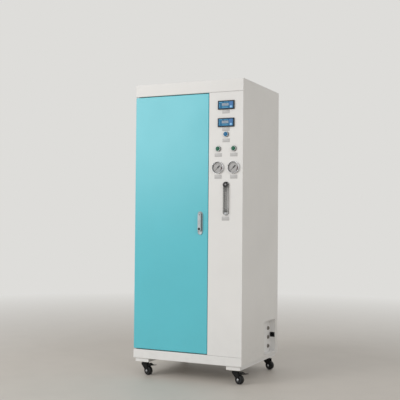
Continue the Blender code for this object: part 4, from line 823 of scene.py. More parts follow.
class PURIFIER_OT_meters(bpy.types.Operator):
    """Build the faces, displays and keys of the panel meters"""
    bl_idname = "purifier.meters"
    bl_label = "Build the meters"

    def execute(self, context):
        looks = context.scene.purifier.meters
        case = moulded("meter_black", looks.case, 0.42, specular_ior_level=0.25)
        face = printed("meter_face", looks.face, 0.42, 0.2)
        side = printed("meter_side", looks.side, 0.42, 0.2)
        display = printed("meter_display", looks.glass, 0.3, 0.3)
        mark = printed("meter_mark", looks.mark, 0.5, 0.2)
        ink = printed("meter_ink", paint(74, 88, 100), 0.5, 0.2)
        key = printed("meter_key_blue", looks.key, 0.35)
        cover = clear("meter_window", paint(235, 240, 244), 0.05)
        dress(case, *METERS)
        for name in METERS:
            low, _, centre = span(name)
            centre.y = low.y + 0.0012
            key_low, key_high, key_centre = span(name + "_key")
            self.build_face(looks, name, centre, key_low, key_high, face, side)
            self.build_display(looks, name, centre, display, mark, ink, cover)
            button = slab(key_high.x - key_low.x, key_high.z - key_low.z, key_high.y - key_low.y,
                          0.0022, (key_centre.x, key_high.y, key_centre.z), edge=0.0005)
            seat(button, name + "_key_cap", name + "_key", key, "meter_key_blue", name + "_key")
        return {"FINISHED"}

    def build_face(self, looks, name, centre, key_low, key_high, face, side):
        """Makes the printed face inside the rim, open for the key and the display."""
        rim, room, reach = 0.0050, 0.0006, 0.01
        low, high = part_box(name)
        plate = slab(high.x - low.x - 2 * rim, high.z - low.z - 2 * rim, looks.face_thickness,
                     0.001, centre)
        window = centre + WINDOW_OFFSET
        wide, tall = looks.window_width / 2, looks.window_height / 2
        cut(plate,
            block((key_low.x - room, centre.y - reach, key_low.z - room),
                  (key_high.x + room, centre.y + reach, key_high.z + room)),
            block((window.x - wide, centre.y - reach, window.z - tall),
                  (window.x + wide, centre.y + reach, window.z + tall)))
        seat(plate, name + "_face", "cabinet", face, "meter_black")
        top, bottom = high.z - rim - 0.001, key_high.z + 0.0012
        field = slab(0.0200, top - bottom, 0.00008, 0.0008,
                     (key_high.x - 0.0082, centre.y - looks.face_thickness, (top + bottom) / 2))
        seat(field, name + "_field", "cabinet", side, "meter_black")

    def build_display(self, looks, name, centre, display, mark, ink, cover):
        """Sets the display in its window, with its figures, a clear cover and two printed rules."""
        window = centre + WINDOW_OFFSET
        wide, tall = looks.window_width, looks.window_height
        screen = slab(wide - 0.0004, tall - 0.0004, 0.0001, 0.0006, window)
        seat(screen, name + "_display", "cabinet", display, "meter_black")
        pitch = 0.0092
        figures = [self.nought(looks, window + Vector((offset, -0.0001, 0)))
                   for offset in (-pitch, 0, pitch)]
        point = slab(0.0011, 0.0011, 0.00006, 0.0004,
                     window + Vector((-0.0046, -0.0001, -looks.digit_height / 2)))
        seat(together(figures[0], *figures[1:], point), name + "_figures", "cabinet", ink,
             "meter_black")
        glass = slab(wide + 0.0016, tall + 0.0016, 0.0003, 0.0012,
                     window + Vector((0, -looks.face_thickness, 0)), edge=0.0001)
        seat(glass, name + "_window", "cabinet", cover, "meter_black")
        rules = [slab(long, thick, 0.00008, 0.0003,
                      centre + Vector((x, -looks.face_thickness, z)))
                 for x, z, long, thick in ((-0.0315, 0.0150, 0.0190, 0.0028),
                                           (0.0000, 0.0158, 0.0230, 0.0014),
                                           (-0.0060, -0.0088, 0.0300, 0.0012),
                                           (-0.0040, -0.0142, 0.0340, 0.0020),
                                           (-0.0375, -0.0030, 0.0020, 0.0180))]
        seat(together(*rules), name + "_rules", "cabinet", mark, "meter_black")

    def nought(self, looks, place):
        """Makes the figure 0 from six of a seven-segment figure's bars."""
        tall = looks.digit_height
        wide, thick = tall * 0.5, tall * 0.1
        across, upright = (wide - thick * 1.3, thick), (thick, tall / 2 - thick * 1.3)
        right, up, half_up = wide / 2, tall / 2, tall / 4
        bars = [slab(*size, 0.00006, thick * 0.4, place + Vector((x, 0, z)), corner_segments=2)
                for x, z, size in ((0, up, across), (right, half_up, upright),
                                   (right, -half_up, upright), (0, -up, across),
                                   (-right, -half_up, upright), (-right, half_up, upright))]
        return together(*bars)


class PURIFIER_OT_buttons(bpy.types.Operator):
    """Build the rings and caps of the pushbuttons"""
    bl_idname = "purifier.buttons"
    bl_label = "Build the buttons"

    def execute(self, context):
        looks = context.scene.purifier.buttons
        ring = bright_metal("bezel_chrome", looks.ring, 0.4, 0.0004, 0.3)
        black = moulded("bezel_painted_shade", looks.collar, 0.6, specular_ior_level=0.2)
        caps = {"blue_button": lens("blue_button_cap", looks.blue),
                "left_green_button": lens("green_button_cap", looks.green)}
        caps["right_green_button"] = caps["left_green_button"]
        for name in BUTTONS:
            self.build_ring(looks, name, ring, black)
            low, high, centre = span(name + "_cap")
            radius, deep = (high.x - low.x) / 2 - 0.0003, high.y - low.y
            stem = radius * 0.37
            cap = lathe(((stem, 0), (stem, deep - 0.0069), (radius, deep - 0.0068),
                         (radius, deep - 0.0019), (radius - 0.0003, deep - 0.0011),
                         (radius - 0.0011, deep - 0.0006), (radius - 0.0018, deep - 0.0009),
                         (radius - 0.0026, deep - 0.0008), (radius * 0.6, deep - 0.0002),
                         (radius * 0.3, deep)), (centre.x, high.y, centre.z), "front")
            seat(cap, name + "_lens", name, caps[name], name + "_cap", name + "_cap")
        return {"FINISHED"}

    def build_ring(self, looks, name, ring, black):
        """Turns the ring and its barrel in one, over a black collar that paints the shade at the
        ring's foot, with the contacts behind.
        """
        low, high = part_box(name + "_bezel")
        cap_low, cap_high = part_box(name + "_cap")
        face = front_face()
        x, z = (low.x + high.x) / 2, (cap_low.z + cap_high.z) / 2
        radius, bore = (high.x - low.x) / 2, (cap_high.x - cap_low.x) / 2 + 0.0006
        proud, edge, collar = looks.ring_proud, looks.ring_edge, looks.collar_height
        throat, shelf, stem, stem_deep = bore - 0.0004, 0.0009, 0.0050, 0.0150
        barrel, barrel_deep, block_deep = 0.0118, 0.0245, 0.022
        shape = lathe(((barrel, -barrel_deep), (barrel, collar), (radius - edge, collar),
                       (radius - edge, proud - edge * 0.7), (radius - edge * 1.6, proud),
                       (bore, proud), (throat, proud - edge * 0.4), (throat, shelf),
                       (stem, shelf), (stem, -stem_deep)), (x, face, z), "front")
        seat(shape, name + "_ring", "cabinet", ring, "bezel_chrome", name + "_bezel")
        # Black collar: painted shade at the ring's foot
        band = lathe(((radius, 0.0003), (radius, collar - edge / 2), (radius - edge / 2, collar),
                      (barrel + 0.0002, collar), (barrel + 0.0002, 0.0010)), (x, face, z), "front")
        seat(band, name + "_collar", "cabinet", black, "bezel_chrome")
        half_wide, half_tall = 0.0138, (high.z - low.z) / 2
        body = block((x - half_wide, high.y - block_deep, z - half_tall),
                     (x + half_wide, high.y, z + half_tall), 0.0012)
        screws = [lathe(((0.0028, 0), (0.0028, 0.0010), (0.0022, 0.0014)),
                        (x + dx, high.y - 0.0006, z + dz), "back", 20)
                  for dx in (-0.008, 0.008) for dz in (-0.011, 0.011)]
        dark = moulded(name + "_contact_grey", looks.block, 0.5)
        seat(together(body, *screws), name + "_contacts", "cabinet", dark, "bezel_chrome")


class PURIFIER_OT_gauges(bpy.types.Operator):
    """Build the pressure gauges with dials, needles and glass"""
    bl_idname = "purifier.gauges"
    bl_label = "Build the gauges"

    def execute(self, context):
        looks = context.scene.purifier.gauges
        case = bright_metal("gauge_chrome", looks.case, 0.34)
        dial = printed("gauge_dial", looks.dial, 0.5, 0.2)
        ink = printed("gauge_ink", looks.ink, 0.5, 0.2)
        red = printed("gauge_red", looks.red, 0.5, 0.2)
        glass = clear("gauge_glass", looks.glass, 0.04, 0.15)
        lining = moulded("gauge_lining", looks.lining, 0.6, specular_ior_level=0.2)
        for name in GAUGES:
            low, high, centre = span(name)
            centre.y = front_face()
            self.build_case(name, centre, low, high, case)
            self.build_lining(name, centre, low, high, lining)
            self.build_dial(looks, name, centre, dial, ink, red)
            self.build_needle(name, centre, ink)
            pane_low, pane_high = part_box(name + "_glass")
            radius, deep = (pane_high.x - pane_low.x) / 2, pane_high.y - pane_low.y
            pane = lathe(((radius, 0), (radius, deep - 0.0006), (radius * 0.98, deep - 0.0003),
                          (radius * 0.8, deep - 0.0001), (radius * 0.4, deep)),
                         (centre.x, pane_high.y, centre.z), "front", 64)
            seat(pane, name + "_pane", "cabinet", glass, "gauge_glass", name + "_glass")
        return {"FINISHED"}

    def build_case(self, name, centre, low, high, case):
        """Turns the ring, the case behind the panel and the threaded stem, with its hexagon."""
        radius, proud = (high.x - low.x) / 2, centre.y - low.y
        back = high.y - centre.y
        inner = radius - GAUGE_RIM
        stem, drum, drum_deep, chamfer, clearance = 0.0065, 0.030, 0.028, 0.002, 0.0003
        shape = lathe(((stem, -back), (stem, -drum_deep), (drum - chamfer, -drum_deep),
                       (drum, chamfer - drum_deep), (drum, clearance), (radius, clearance),
                       (radius, 0.0026),
                       (radius - 0.0004, 0.0031), (radius - 0.0012, 0.0034),
                       (radius - 0.0012, proud - 0.0016), (radius - 0.0016, proud - 0.0006),
                       (radius - 0.0022, proud), (inner - 0.0004, proud),
                       (inner - 0.0008, proud - 0.0005), (inner - 0.0008, proud - 0.0012),
                       (inner, proud - 0.0012), (inner, 0.0034)),
                      centre, "front", 72)
        hexagon = nut(0.011, 0.026, 0.037, centre, "back")
        root, crest, pitch = 0.0069, 0.0076, 0.0012
        threads = [lathe(((root, 0), (crest, 0.0005), (root, 0.0010)),
                         centre + Vector((0, 0.038 + pitch * turn, 0)), "back", 28)
                   for turn in range(9)]
        seat(together(shape, hexagon, *threads), name + "_case", "cabinet", case,
             "gauge_chrome", name)

    def build_lining(self, name, centre, low, high, lining):
        """Turns the black lining that holds the glass over the dial; its black is painted shade on the
        ring's inner wall.
        """
        inner, proud = (high.x - low.x) / 2 - GAUGE_RIM, centre.y - low.y
        ring = lathe(((inner - 0.0002, 0.0036), (inner - 0.0002, proud - 0.0014),
                      (inner - 0.0010, proud - 0.0014), (inner - 0.0014, 0.0046)),
                     centre, "front", 72)
        hole = lathe(((inner - 0.0016, 0), (inner - 0.0016, proud + 0.01)), centre, "front", 72)
        seat(cut(ring, hole), name + "_lining", "cabinet", lining, "gauge_chrome")

    def build_dial(self, looks, name, centre, dial, ink, red):
        """Prints the dial: marks over 270 degrees, plain numbers and a red band at the right."""
        face = centre.y - 0.0035
        radius, thick = 0.0306, 0.0003
        plate = lathe(((radius, 0), (radius, 0.00022), (radius - 0.0004, thick)),
                      (centre.x, face, centre.z), "front", 64)
        seat(plate, name + "_dial", "cabinet", dial, "gauge_chrome")
        hub = Vector((centre.x, face - thick, centre.z))
        marks_out, numbers_out, band_out, steps, links = 0.0272, 0.0193, 0.0236, 5, 13
        marks = []
        for index in range(looks.divisions + 1):
            main = index % (looks.divisions // steps) == 0
            long, wide = (0.0038, 0.0009) if main else (0.0020, 0.0004)
            mark = slab(wide, long, 0.00006, 0, hub + Vector((0, 0, marks_out - long / 2)))
            marks.append(spun(mark, dial_angle(index / looks.divisions), hub))
        for index in range(steps + 1):
            angle = dial_angle(index / steps)
            spot = hub + Vector((math.sin(angle), 0, math.cos(angle))) * numbers_out
            marks.append(figure(2 * index, looks.number_height, spot, 0.00004))
        seat(together(*marks), name + "_marks", "cabinet", ink, "gauge_chrome")
        band = []
        for index in range(links + 1):
            piece = slab(0.00185, 0.0064, 0.00005, 0, hub + Vector((0, 0, band_out)))
            band.append(spun(piece, math.radians(RED_START + RED_SWEEP * index / links), hub))
        seat(together(*band), name + "_red_band", "cabinet", red, "gauge_chrome")

    def build_needle(self, name, centre, ink):
        """Makes the needle: a slim pointer, a broad tail and a domed hub, at the dial's start."""
        low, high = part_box(name + "_needle")
        thick = high.y - low.y
        hub = Vector((centre.x, high.y, centre.z))
        blade = slab(0.0036, 0.0225, thick * 0.5, 0, hub + Vector((0, 0, 0.01125)))
        self.narrow(blade, hub.z + 0.0224)
        tail = slab(0.0074, 0.0150, thick * 0.5, 0.0018, hub + Vector((0, 0, -0.0075)))
        knob = lathe(((0.0040, 0), (0.0040, thick * 0.7), (0.0033, thick * 0.95),
                      (0.0016, thick)), hub, "front", 32)
        needle = spun(welded(blade, tail, knob), dial_angle(0), hub)
        body = name.replace("gauge", "needle")
        seat(needle, name + "_pointer", body, ink, "needle_black", name + "_needle")

    def narrow(self, blade, tip):
        """Draws a blade's far end in to a point."""
        take(blade)
        bpy.ops.object.mode_set(mode="EDIT")
        bpy.ops.mesh.select_all(action="DESELECT")
        shape = bmesh.from_edit_mesh(blade.data)
        chosen = [vert for vert in shape.verts if vert.co.z > tip]
        for vert in chosen:
            vert.select = True
        shape.select_flush(True)
        bmesh.update_edit_mesh(blade.data)
        middle_x = sum(vert.co.x for vert in chosen) / len(chosen)
        bpy.ops.transform.resize(value=(0.4, 1, 1), center_override=(middle_x, 0, tip))
        bpy.ops.object.mode_set(mode="OBJECT")


class PURIFIER_OT_flow_meter(bpy.types.Operator):
    """Build the float flow meter"""
    bl_idname = "purifier.flow_meter"
    bl_label = "Build the flow meter"

    def execute(self, context):
        looks = context.scene.purifier.flow
        low, high, axis = span("flow_meter_body")
        acrylic = clear("flow_acrylic", looks.acrylic, looks.alpha, 0.08)
        self.frost(acrylic, axis.x, high.z, looks)
        black = moulded("flow_fitting", looks.fitting, 0.4, specular_ior_level=0.3)
        steel = bright_metal("float_steel", looks.steel, 0.26)
        bob_low, bob_high, bob_centre = span("flow_meter_float")
        axis.y = bob_centre.y
        places = FlowPlaces(axis, front=low.y, back=front_face() + looks.block_behind,
                            wide=high.x - low.x, reach=high.y, half=(high.z - low.z) / 2,
                            knob_z=high.z - (high.x - low.x) / 2)
        self.build_block(places, acrylic)
        grey = moulded("flow_grey", looks.cap, 0.5, specular_ior_level=0.3)
        self.build_fittings(places, black, steel, grey)
        self.build_scale(looks, places, printed("flow_ink", looks.ink, 0.5))
        radius, rise = (bob_high.x - bob_low.x) / 2, bob_high.z - bob_low.z
        bob = lathe(((radius * 0.3, 0), (radius * 0.62, rise * 0.3), (radius * 0.98, rise * 0.62),
                     (radius, rise * 0.66), (radius, rise * 0.82), (radius * 0.7, rise * 0.86),
                     (radius * 0.5, rise)), (axis.x, axis.y, bob_low.z), "up", 32)
        seat(bob, "flow_bob", "flow_float", steel, "float_steel", "flow_meter_float")
        return {"FINISHED"}

    def frost(self, acrylic, middle_x, top, looks):
        """Makes the block under its knob hide more towards its two long edges, so they read paler."""
        clear_half, covered_half, knob_drop, covered_drop = 0.007, 0.014, 0.030, 0.036
        nodes = Nodes(acrylic.node_tree)
        place = nodes.node("ShaderNodeTexCoord", output="Object")
        parts = nodes.node("ShaderNodeSeparateXYZ", inputs={"Vector": place})
        x, _, z = (Value(nodes, socket) for socket in parts.node.outputs)
        off = (x - middle_x).math("ABSOLUTE")
        under = 1 - z.step(top - covered_drop, top - knob_drop)
        cover = off.step(clear_half, covered_half) * under * looks.frost + looks.alpha
        shader = acrylic.node_tree.nodes["Principled BSDF"]
        acrylic.node_tree.links.new(cover.socket, shader.inputs["Alpha"])

    def build_block(self, places, acrylic):
        """Makes the clear block, bored for the tapered tube and for the knob at its top."""
        axis, front, back, wide, _, half, knob_z = places
        deep, wall, floor, overrun = back - front, 0.0016, 0.004, 0.01
        body = slab(wide, half * 2, deep, wide / 2 - 0.0008, (axis.x, back, axis.z), edge=0.0016,
                    corner_segments=12)
        tube = lathe(((TUBE_FOOT_RADIUS, -half + 0.0280), (TUBE_TOP_RADIUS, half - 0.0295)),
                     axis, "up", 32)
        well_radius = wide / 2 - wall
        well = lathe(((well_radius, -overrun), (well_radius, deep - floor)),
                     (axis.x, front, knob_z), "back", 48)
        seat(cut(body, tube, well), "flow_meter_block", "cabinet", acrylic, "flow_acrylic",
             "flow_meter_body")

    def build_fittings(self, places, black, steel, grey):
        """Puts in the round black knob and its cap, the tube's black ends, the plug and the stubs."""
        axis, front, back, _, reach, half, knob_z = places
        radius, stub_spread = 0.0150, 0.056
        knob = lathe(((radius, -0.0085), (radius, -0.0010), (radius - 0.0010, 0), (0.0054, 0),
                      (0.0051, -0.0014)), (axis.x, front, knob_z), "front", 48)
        neck = lathe(((0.0100, half - 0.0445), (0.0118, half - 0.0425), (0.0124, half - 0.0310)),
                     axis, "up", 40)
        cut(neck, lathe(((0.0093, half - 0.0480), (0.0093, half - 0.0250)), axis, "up", 40))
        low_end = lathe(((0.0128, -half + 0.0190), (0.0132, -half + 0.0200),
                         (0.0132, -half + 0.0265), (0.0074, -half + 0.0285)), axis, "up", 40)
        stubs = [lathe(((0.0085, 0.0004), (0.0085, reach - back)),
                       (axis.x, back, axis.z + spread), "back", 28)
                 for spread in (-stub_spread, stub_spread)]
        seat(together(knob, neck, low_end, *stubs), "flow_inserts", "cabinet", black,
             "flow_acrylic")
        plug = lathe(((0.0112, -half + 0.0020), (0.0126, -half + 0.0034), (0.0126, -half + 0.0160),
                      (0.0108, -half + 0.0180)), axis, "up", 40)
        seat(plug, "flow_end_plug", "cabinet", steel, "float_steel")
        screw = lathe(((0.0050, -0.0014), (0.0050, -0.0006), (0.0044, -0.0003)),
                      (axis.x, front, knob_z + 0.0015), "front", 32)
        seat(screw, "flow_knob_cap", "cabinet", grey, "flow_acrylic")

    def build_scale(self, looks, places, ink):
        """Prints the scale, puts the milky plate behind the block and fills the tube with water whose
        grey paints the tube's darker core.
        """
        axis, front, back, _, _, half, _ = places
        clearance = 0.0002
        low, high, inner_end = axis.z - half + 0.040, axis.z + half - 0.056, axis.x + 0.0102
        marks = []
        for index in range(looks.marks):
            z = low + (high - low) * index / (looks.marks - 1)
            long = 0.0036 if index % 5 == 0 else 0.0022
            marks.append(slab(long, 0.0004, 0.00006, 0, (inner_end + long / 2, front - 0.00001, z)))
        seat(together(*marks), "flow_scale", "cabinet", ink, "flow_acrylic")
        milky = printed("flow_back", looks.back, 0.5, 0.2)
        plate = slab(0.0334, half * 2 - 0.0006, 0.0010, 0.0160, (axis.x, back + 0.0011, axis.z))
        seat(plate, "flow_back_plate", "cabinet", milky, "flow_acrylic")
        # Water greyed to paint the tube's darker core
        water = clear("flow_water", looks.water, 0.20)
        column = lathe(((TUBE_FOOT_RADIUS - clearance, -half + 0.0290),
                        (TUBE_TOP_RADIUS - clearance, half - 0.0450)), axis, "up", 32)
        seat(column, "flow_water", "cabinet", water, "flow_acrylic")


class PURIFIER_OT_labels(bpy.types.Operator):
    """Put the bare label plates on the instrument panel"""
    bl_idname = "purifier.labels"
    bl_label = "Build the labels"

    def execute(self, context):
        looks = context.scene.purifier.labels
        plate = printed("label_plate", looks.plate, 0.4)
        face = front_face()
        for name, x, z, wide, tall in self.places():
            label = slab(wide, tall, looks.thickness, looks.corner, (x, face, z),
                         edge=looks.thickness / 3)
            seat(label, name + "_label", "cabinet", plate, "cabinet_white")
        return {"FINISHED"}

    def places(self):
        """Gives each plate's name, middle and size, under what it belongs to."""
        spots = []
        for name in METERS:
            low, _, centre = span(name)
            spots.append((name, centre.x - 0.002, low.z - 0.0118, 0.044, 0.0205))
        for name in BUTTONS:
            centre = span(name + "_cap")[2]
            spots.append((name, centre.x, centre.z - 0.0335, 0.043, 0.020))
        for name in GAUGES:
            low, _, centre = span(name)
            spots.append((name, centre.x, low.z - 0.0160, 0.043, 0.0215))
        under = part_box("flow_meter_body")[0].z - 0.0175
        spots.append(("flow_meter", span("upper_meter")[2].x, under, 0.044, 0.022))
        return spots


class PURIFIER_OT_casters(bpy.types.Operator):
    """Build the wheels and finish the forks and pedals"""
    bl_idname = "purifier.casters"
    bl_label = "Build the casters"

    def execute(self, context):
        looks = context.scene.purifier.casters
        black = moulded("caster_black", looks.frame_black, 0.3, 0.0012, specular_ior_level=0.25)
        tread = moulded("tread_black", looks.tread, 0.45, 0.0006, specular_ior_level=0.3)
        hub = moulded("wheel_hub", looks.hub, 0.2)
        bolt = bright_metal("axle_bolt", looks.bolt, 0.24)
        turn, edge, tread_deep, wide = math.radians(WHEEL_TURN), looks.tread_edge, 0.0085, 0.0110
        for name in CASTERS:
            dress(black, name + "_fork")
            low, high, centre = span(name + "_wheel")
            radius = (high.z - low.z) / 2
            tyre = lathe(((radius - tread_deep, -wide), (radius - edge, -wide),
                          (radius - edge * 0.45, -wide + edge * 0.3),
                          (radius - edge * 0.1, -wide + edge * 0.75), (radius, -wide + edge * 1.3),
                          (radius, wide - edge * 1.3), (radius - edge * 0.1, wide - edge * 0.75),
                          (radius - edge * 0.45, wide - edge * 0.3), (radius - edge, wide),
                          (radius - tread_deep, wide)), centre, "back", 64, turn)
            seat(tyre, name + "_tyre", name + "_wheel", tread, "tread_black", name + "_wheel")
            self.build_hub(name, centre, radius - tread_deep + 0.0001, wide, hub, turn)
            self.build_bolts(name, centre, bolt, turn)
            if name.startswith("front"):
                dress(black, name + "_pedal")
        return {"FINISHED"}

    def build_hub(self, name, centre, rim, wide, hub, turn):
        """Turns the wheel's dished centre on both sides, in a grey paler than the tyre that is partly
        its own colour and partly a painted highlight beside the bolt.
        """
        sides = [lathe(((rim, 0), (rim, wide + 0.0003), (rim - 0.0016, wide + 0.0004),
                        (rim - 0.0030, wide - 0.0030), (0.0085, wide - 0.0034),
                        (0.0078, wide + 0.0002), (0.0050, wide + 0.0005)),
                       centre, way, 48, turn) for way in ("front", "back")]
        seat(together(*sides), name + "_wheel_hub", name + "_wheel", hub, "tread_black")

    def build_bolts(self, name, centre, bolt, turn):
        """Puts an axle bolt's head and its nut on the outsides of the fork."""
        outer, washer_deep, head_deep = 0.01475, 0.0007, 0.0033
        parts = []
        for way in ("front", "back"):
            seated = outer + washer_deep
            washer = lathe(((0.0074, outer), (0.0074, seated)), centre, way, 32, turn)
            head = nut(0.0064, seated, seated + head_deep, (0, 0, 0), way)
            parts += [washer, settle(head, centre, turn=turn)]
        seat(together(*parts), name + "_axle_bolt", name + "_caster", bolt, "pin_steel")


class PURIFIER_OT_connection_bay(bpy.types.Operator):
    """Build the hose ports and finish the mains inlet"""
    bl_idname = "purifier.connection_bay"
    bl_label = "Build the connection bay"

    def execute(self, context):
        looks = context.scene.purifier.bay
        grey = moulded("port_grey", looks.fitting, 0.35)
        dark = moulded("port_collet", looks.collet, 0.3)
        dress(moulded("inlet_black", looks.inlet, 0.42), "mains_inlet")
        neck, collar, mouth, hexagon = 0.0082, 0.0094, 0.0070, 0.0125
        for name in PORTS:
            low, high, base = span(name)
            base.x = low.x
            long = high.x - low.x
            start = long - 0.0093
            body = lathe(((neck - 0.0004, 0), (neck, 0.0008), (neck, start), (collar, start),
                          (collar, long - 0.0022), (collar - 0.0006, long - 0.0015),
                          (mouth, long - 0.0015), (mouth, long - 0.0040)), base, "right", 40)
            front_nut = nut(hexagon, start + 0.0003, start + 0.0053, base, "right")
            rear_nut = nut(hexagon, start - 0.0081, start - 0.0021, base, "right")
            seat(together(body, front_nut, rear_nut), name + "_fitting", "cabinet", grey,
                 "port_grey", name)
            collet = lathe(((0.0064, long - 0.0036), (0.0064, long - 0.0005),
                            (0.0060, long), (0.0036, long), (0.0033, long - 0.0004),
                            (0.0033, long - 0.0150)), base, "right", 40)
            seat(collet, name + "_collet", "cabinet", dark, "port_grey")
        return {"FINISHED"}


class PURIFIER_OT_water_path(bpy.types.Operator):
    """Build the tanks, filters, vessel, pump, control box and their tubing"""
    bl_idname = "purifier.water_path"
    bl_label = "Build the water path"

    def execute(self, context):
        looks = context.scene.purifier.water
        head = moulded("head_black", looks.head, 0.4)
        steel = bright_metal("clamp_steel", looks.steel, 0.3)
        self.build_tanks(looks, head)
        self.build_prefilters(looks)
        self.build_vessel(looks, steel, head)
        self.build_pump(looks, head, steel)
        self.build_box(looks, head)
        self.build_tubing(looks)
        return {"FINISHED"}

    def build_tanks(self, looks, head):
        """Winds the two resin tanks and gives each its foot and its head."""
        fibre = wound_fibre("tank_blue", looks.tank)
        neck, wall, shoulder, dome_tall, steps = 0.036, 0.1025, 0.830, 0.060, 9
        dome = [(neck + (wall - neck) * math.cos(angle), shoulder + dome_tall * math.sin(angle))
                for angle in (math.pi / 2 * step / steps for step in range(steps))]
        for name in TANKS:
            low, _, place = span(name)
            x, y, place.z = place.x, place.y, low.z
            tank = lathe([(wall - 0.0025, 0.030), (wall, 0.032), *dome, (neck + 0.0005, 0.890),
                          (neck, 0.905)], place, "up", 64)
            seat(tank, name + "_shell", "cabinet", fibre, "tank_blue", name)
            foot = lathe(((0.1020, 0), (0.1040, 0.002), (0.1040, 0.046), (0.1034, 0.050),
                          (0.1030, 0.050)), place, "up", 64)
            top = lathe(((0.040, 0.8905), (0.0445, 0.893), (0.0445, 0.908), (0.046, 0.911),
                         (0.046, 0.950), (0.043, 0.957), (0.037, 0.962)), place, "up", 48)
            ribs = ring_of(block((x + 0.0440, y - 0.0022, low.z + 0.913),
                                 (x + 0.0459, y + 0.0022, low.z + 0.948), 0.0006), 12, (x, y, 0))
            seat(together(foot, top, ribs), name + "_fittings", "cabinet", head, "tank_blue")

    def build_prefilters(self, looks):
        """Builds the three housings: a ported head, a ribbed collar and a tapered bowl."""
        cap = moulded("prefilter_cap", looks.cap, 0.32)
        bowl_finish = moulded("prefilter_white", looks.housing, 0.22, 0.0008, 1.04)
        for name in PREFILTERS:
            _, high, place = span(name)
            x, y, top = place.x, place.y, high.z
            place.z = top
            bowl = lathe(((0.028, -0.3017), (0.038, -0.3010), (0.044, -0.2960), (0.0462, -0.2885),
                          (0.0510, -0.0790), (0.0510, -0.0680)), place, "up", 56)
            flutes = ring_of(block((x + 0.0484, y - 0.0016, top - 0.270),
                                   (x + 0.0500, y + 0.0016, top - 0.090), 0.0006), 16, (x, y, 0))
            seat(together(bowl, flutes), name + "_bowl", "cabinet", bowl_finish, "prefilter_white")
            head = lathe(((0.0585, -0.0773), (0.0600, -0.0760), (0.0600, -0.0570), (0.0565, -0.0553),
                          (0.0560, -0.0100), (0.0540, -0.0040), (0.0470, -0.0004)), place, "up", 56)
            link = lathe(((0.0130, -0.0672), (0.0130, 0.0672)), (x, y, top - LINK_DROP), "right", 32)
            grips = ring_of(block((x + 0.0590, y - 0.0030, top - 0.0750),
                                  (x + 0.0599, y + 0.0030, top - 0.0580), 0.0004), 18, (x, y, 0))
            seat(together(head, link, grips), name + "_head", "cabinet", cap, "prefilter_white",
                 name)

    def build_vessel(self, looks, steel, head):
        """Builds the upright membrane vessel with clamped end caps."""
        low, high, foot = span("membrane_vessel")
        foot.y, foot.z = high.y - VESSEL_REACH, low.z
        white = moulded("vessel_white", looks.vessel, 0.3, 0.0012, 1.02)
        shell = lathe(((0.0508, 0.034), (0.0508, 1.004)), foot, "up", 56)
        rings = [lathe(((0.0505, z), (0.0520, z + 0.002), (0.0520, z + 0.020), (0.0505, z + 0.022)),
                       foot, "up", 56) for z in (0.25, 0.52, 0.79)]
        seat(together(shell, *rings), "vessel_shell", "cabinet", white, "vessel_white",
             "membrane_vessel")
        caps = lathe(((0.0570, 0), (0.0580, 0.001), (0.0580, 0.021), (0.0520, 0.023)),
                     foot, "up", 56)
        top = lathe(((0.0520, 1.016), (0.0580, 1.018), (0.0580, 1.036), (0.0565, 1.038),
                     (0.0100, 1.038), (0.0100, 1.060)), foot, "up", 56)
        port = lathe(((0.0100, 0.050), (0.0100, 0.080)),
                     foot + Vector((0, 0, VESSEL_PORT_RISE)), "front", 28)
        seat(together(caps, top, port), "vessel_caps", "cabinet", head, "vessel_white")
        clamps = [lathe(((0.0512, z), (0.0615, z + 0.0005), (0.0620, z + 0.0015),
                         (0.0620, z + 0.0120), (0.0615, z + 0.0130), (0.0512, z + 0.0135)),
                        foot, "up", 56) for z in (0.0225, 1.0028)]
        seat(together(*clamps), "vessel_clamps", "cabinet", steel, "pin_steel")

    def build_pump(self, looks, head, steel):
        """Builds the booster pump: a ribbed motor, a wet end with ports and a foot."""
        low, _, axis = span("booster_pump")
        y, axis.x, axis.z = axis.y, low.x, low.z + 0.085
        motor = moulded("pump_grey", looks.motor, 0.42)
        wall, rib, ribs, pitch = 0.0490, 0.0520, 14, 0.0100
        profile = [(0.044, 0), (wall, 0.003)]
        for index in range(ribs):
            start = 0.006 + index * pitch
            profile += [(wall, start), (rib, start + 0.0008), (rib, start + 0.0045),
                        (wall, start + 0.0053)]
        profile += [(wall, 0.148), (0.047, 0.150)]
        body = lathe(profile, axis, "right", 48)
        foot_long, foot_half, foot_thick, screw_in = 0.170, 0.055, 0.006, 0.012
        foot = block((low.x, y - foot_half, low.z),
                     (low.x + foot_long, y + foot_half, low.z + foot_thick), 0.0015)
        saddle = block((low.x + 0.025, y - 0.035, low.z + 0.003),
                       (low.x + 0.145, y + 0.035, axis.z - 0.020), 0.003)
        seat(together(body, foot, saddle), "pump_motor", "cabinet", motor, "pump_grey",
             "booster_pump")
        wet = lathe(((0.048, 0.150), (0.048, 0.162), (0.056, 0.162), (0.058, 0.165),
                     (0.058, 0.190), (0.054, 0.192), (0.054, 0.196), (0.058, 0.198),
                     (0.058, 0.218), (0.054, 0.222)), axis, "right", 48)
        ports = [lathe(((0.011, 0.050), (0.011, 0.0795), (0.009, 0.080)),
                       axis + Vector((x, 0, 0)), "up", 28) for x in (PUMP_OUTLET, PUMP_INLET)]
        seat(together(wet, *ports), "pump_wet_end", "cabinet", head, "pump_grey")
        screws = [lathe(((0.0045, 0), (0.0045, 0.0030), (0.0035, 0.0036)),
                        (low.x + x, y + side * 0.046, low.z + foot_thick), "up", 20)
                  for x in (screw_in, foot_long - screw_in) for side in (-1, 1)]
        seat(together(*screws), "pump_screws", "cabinet", steel, "pin_steel")

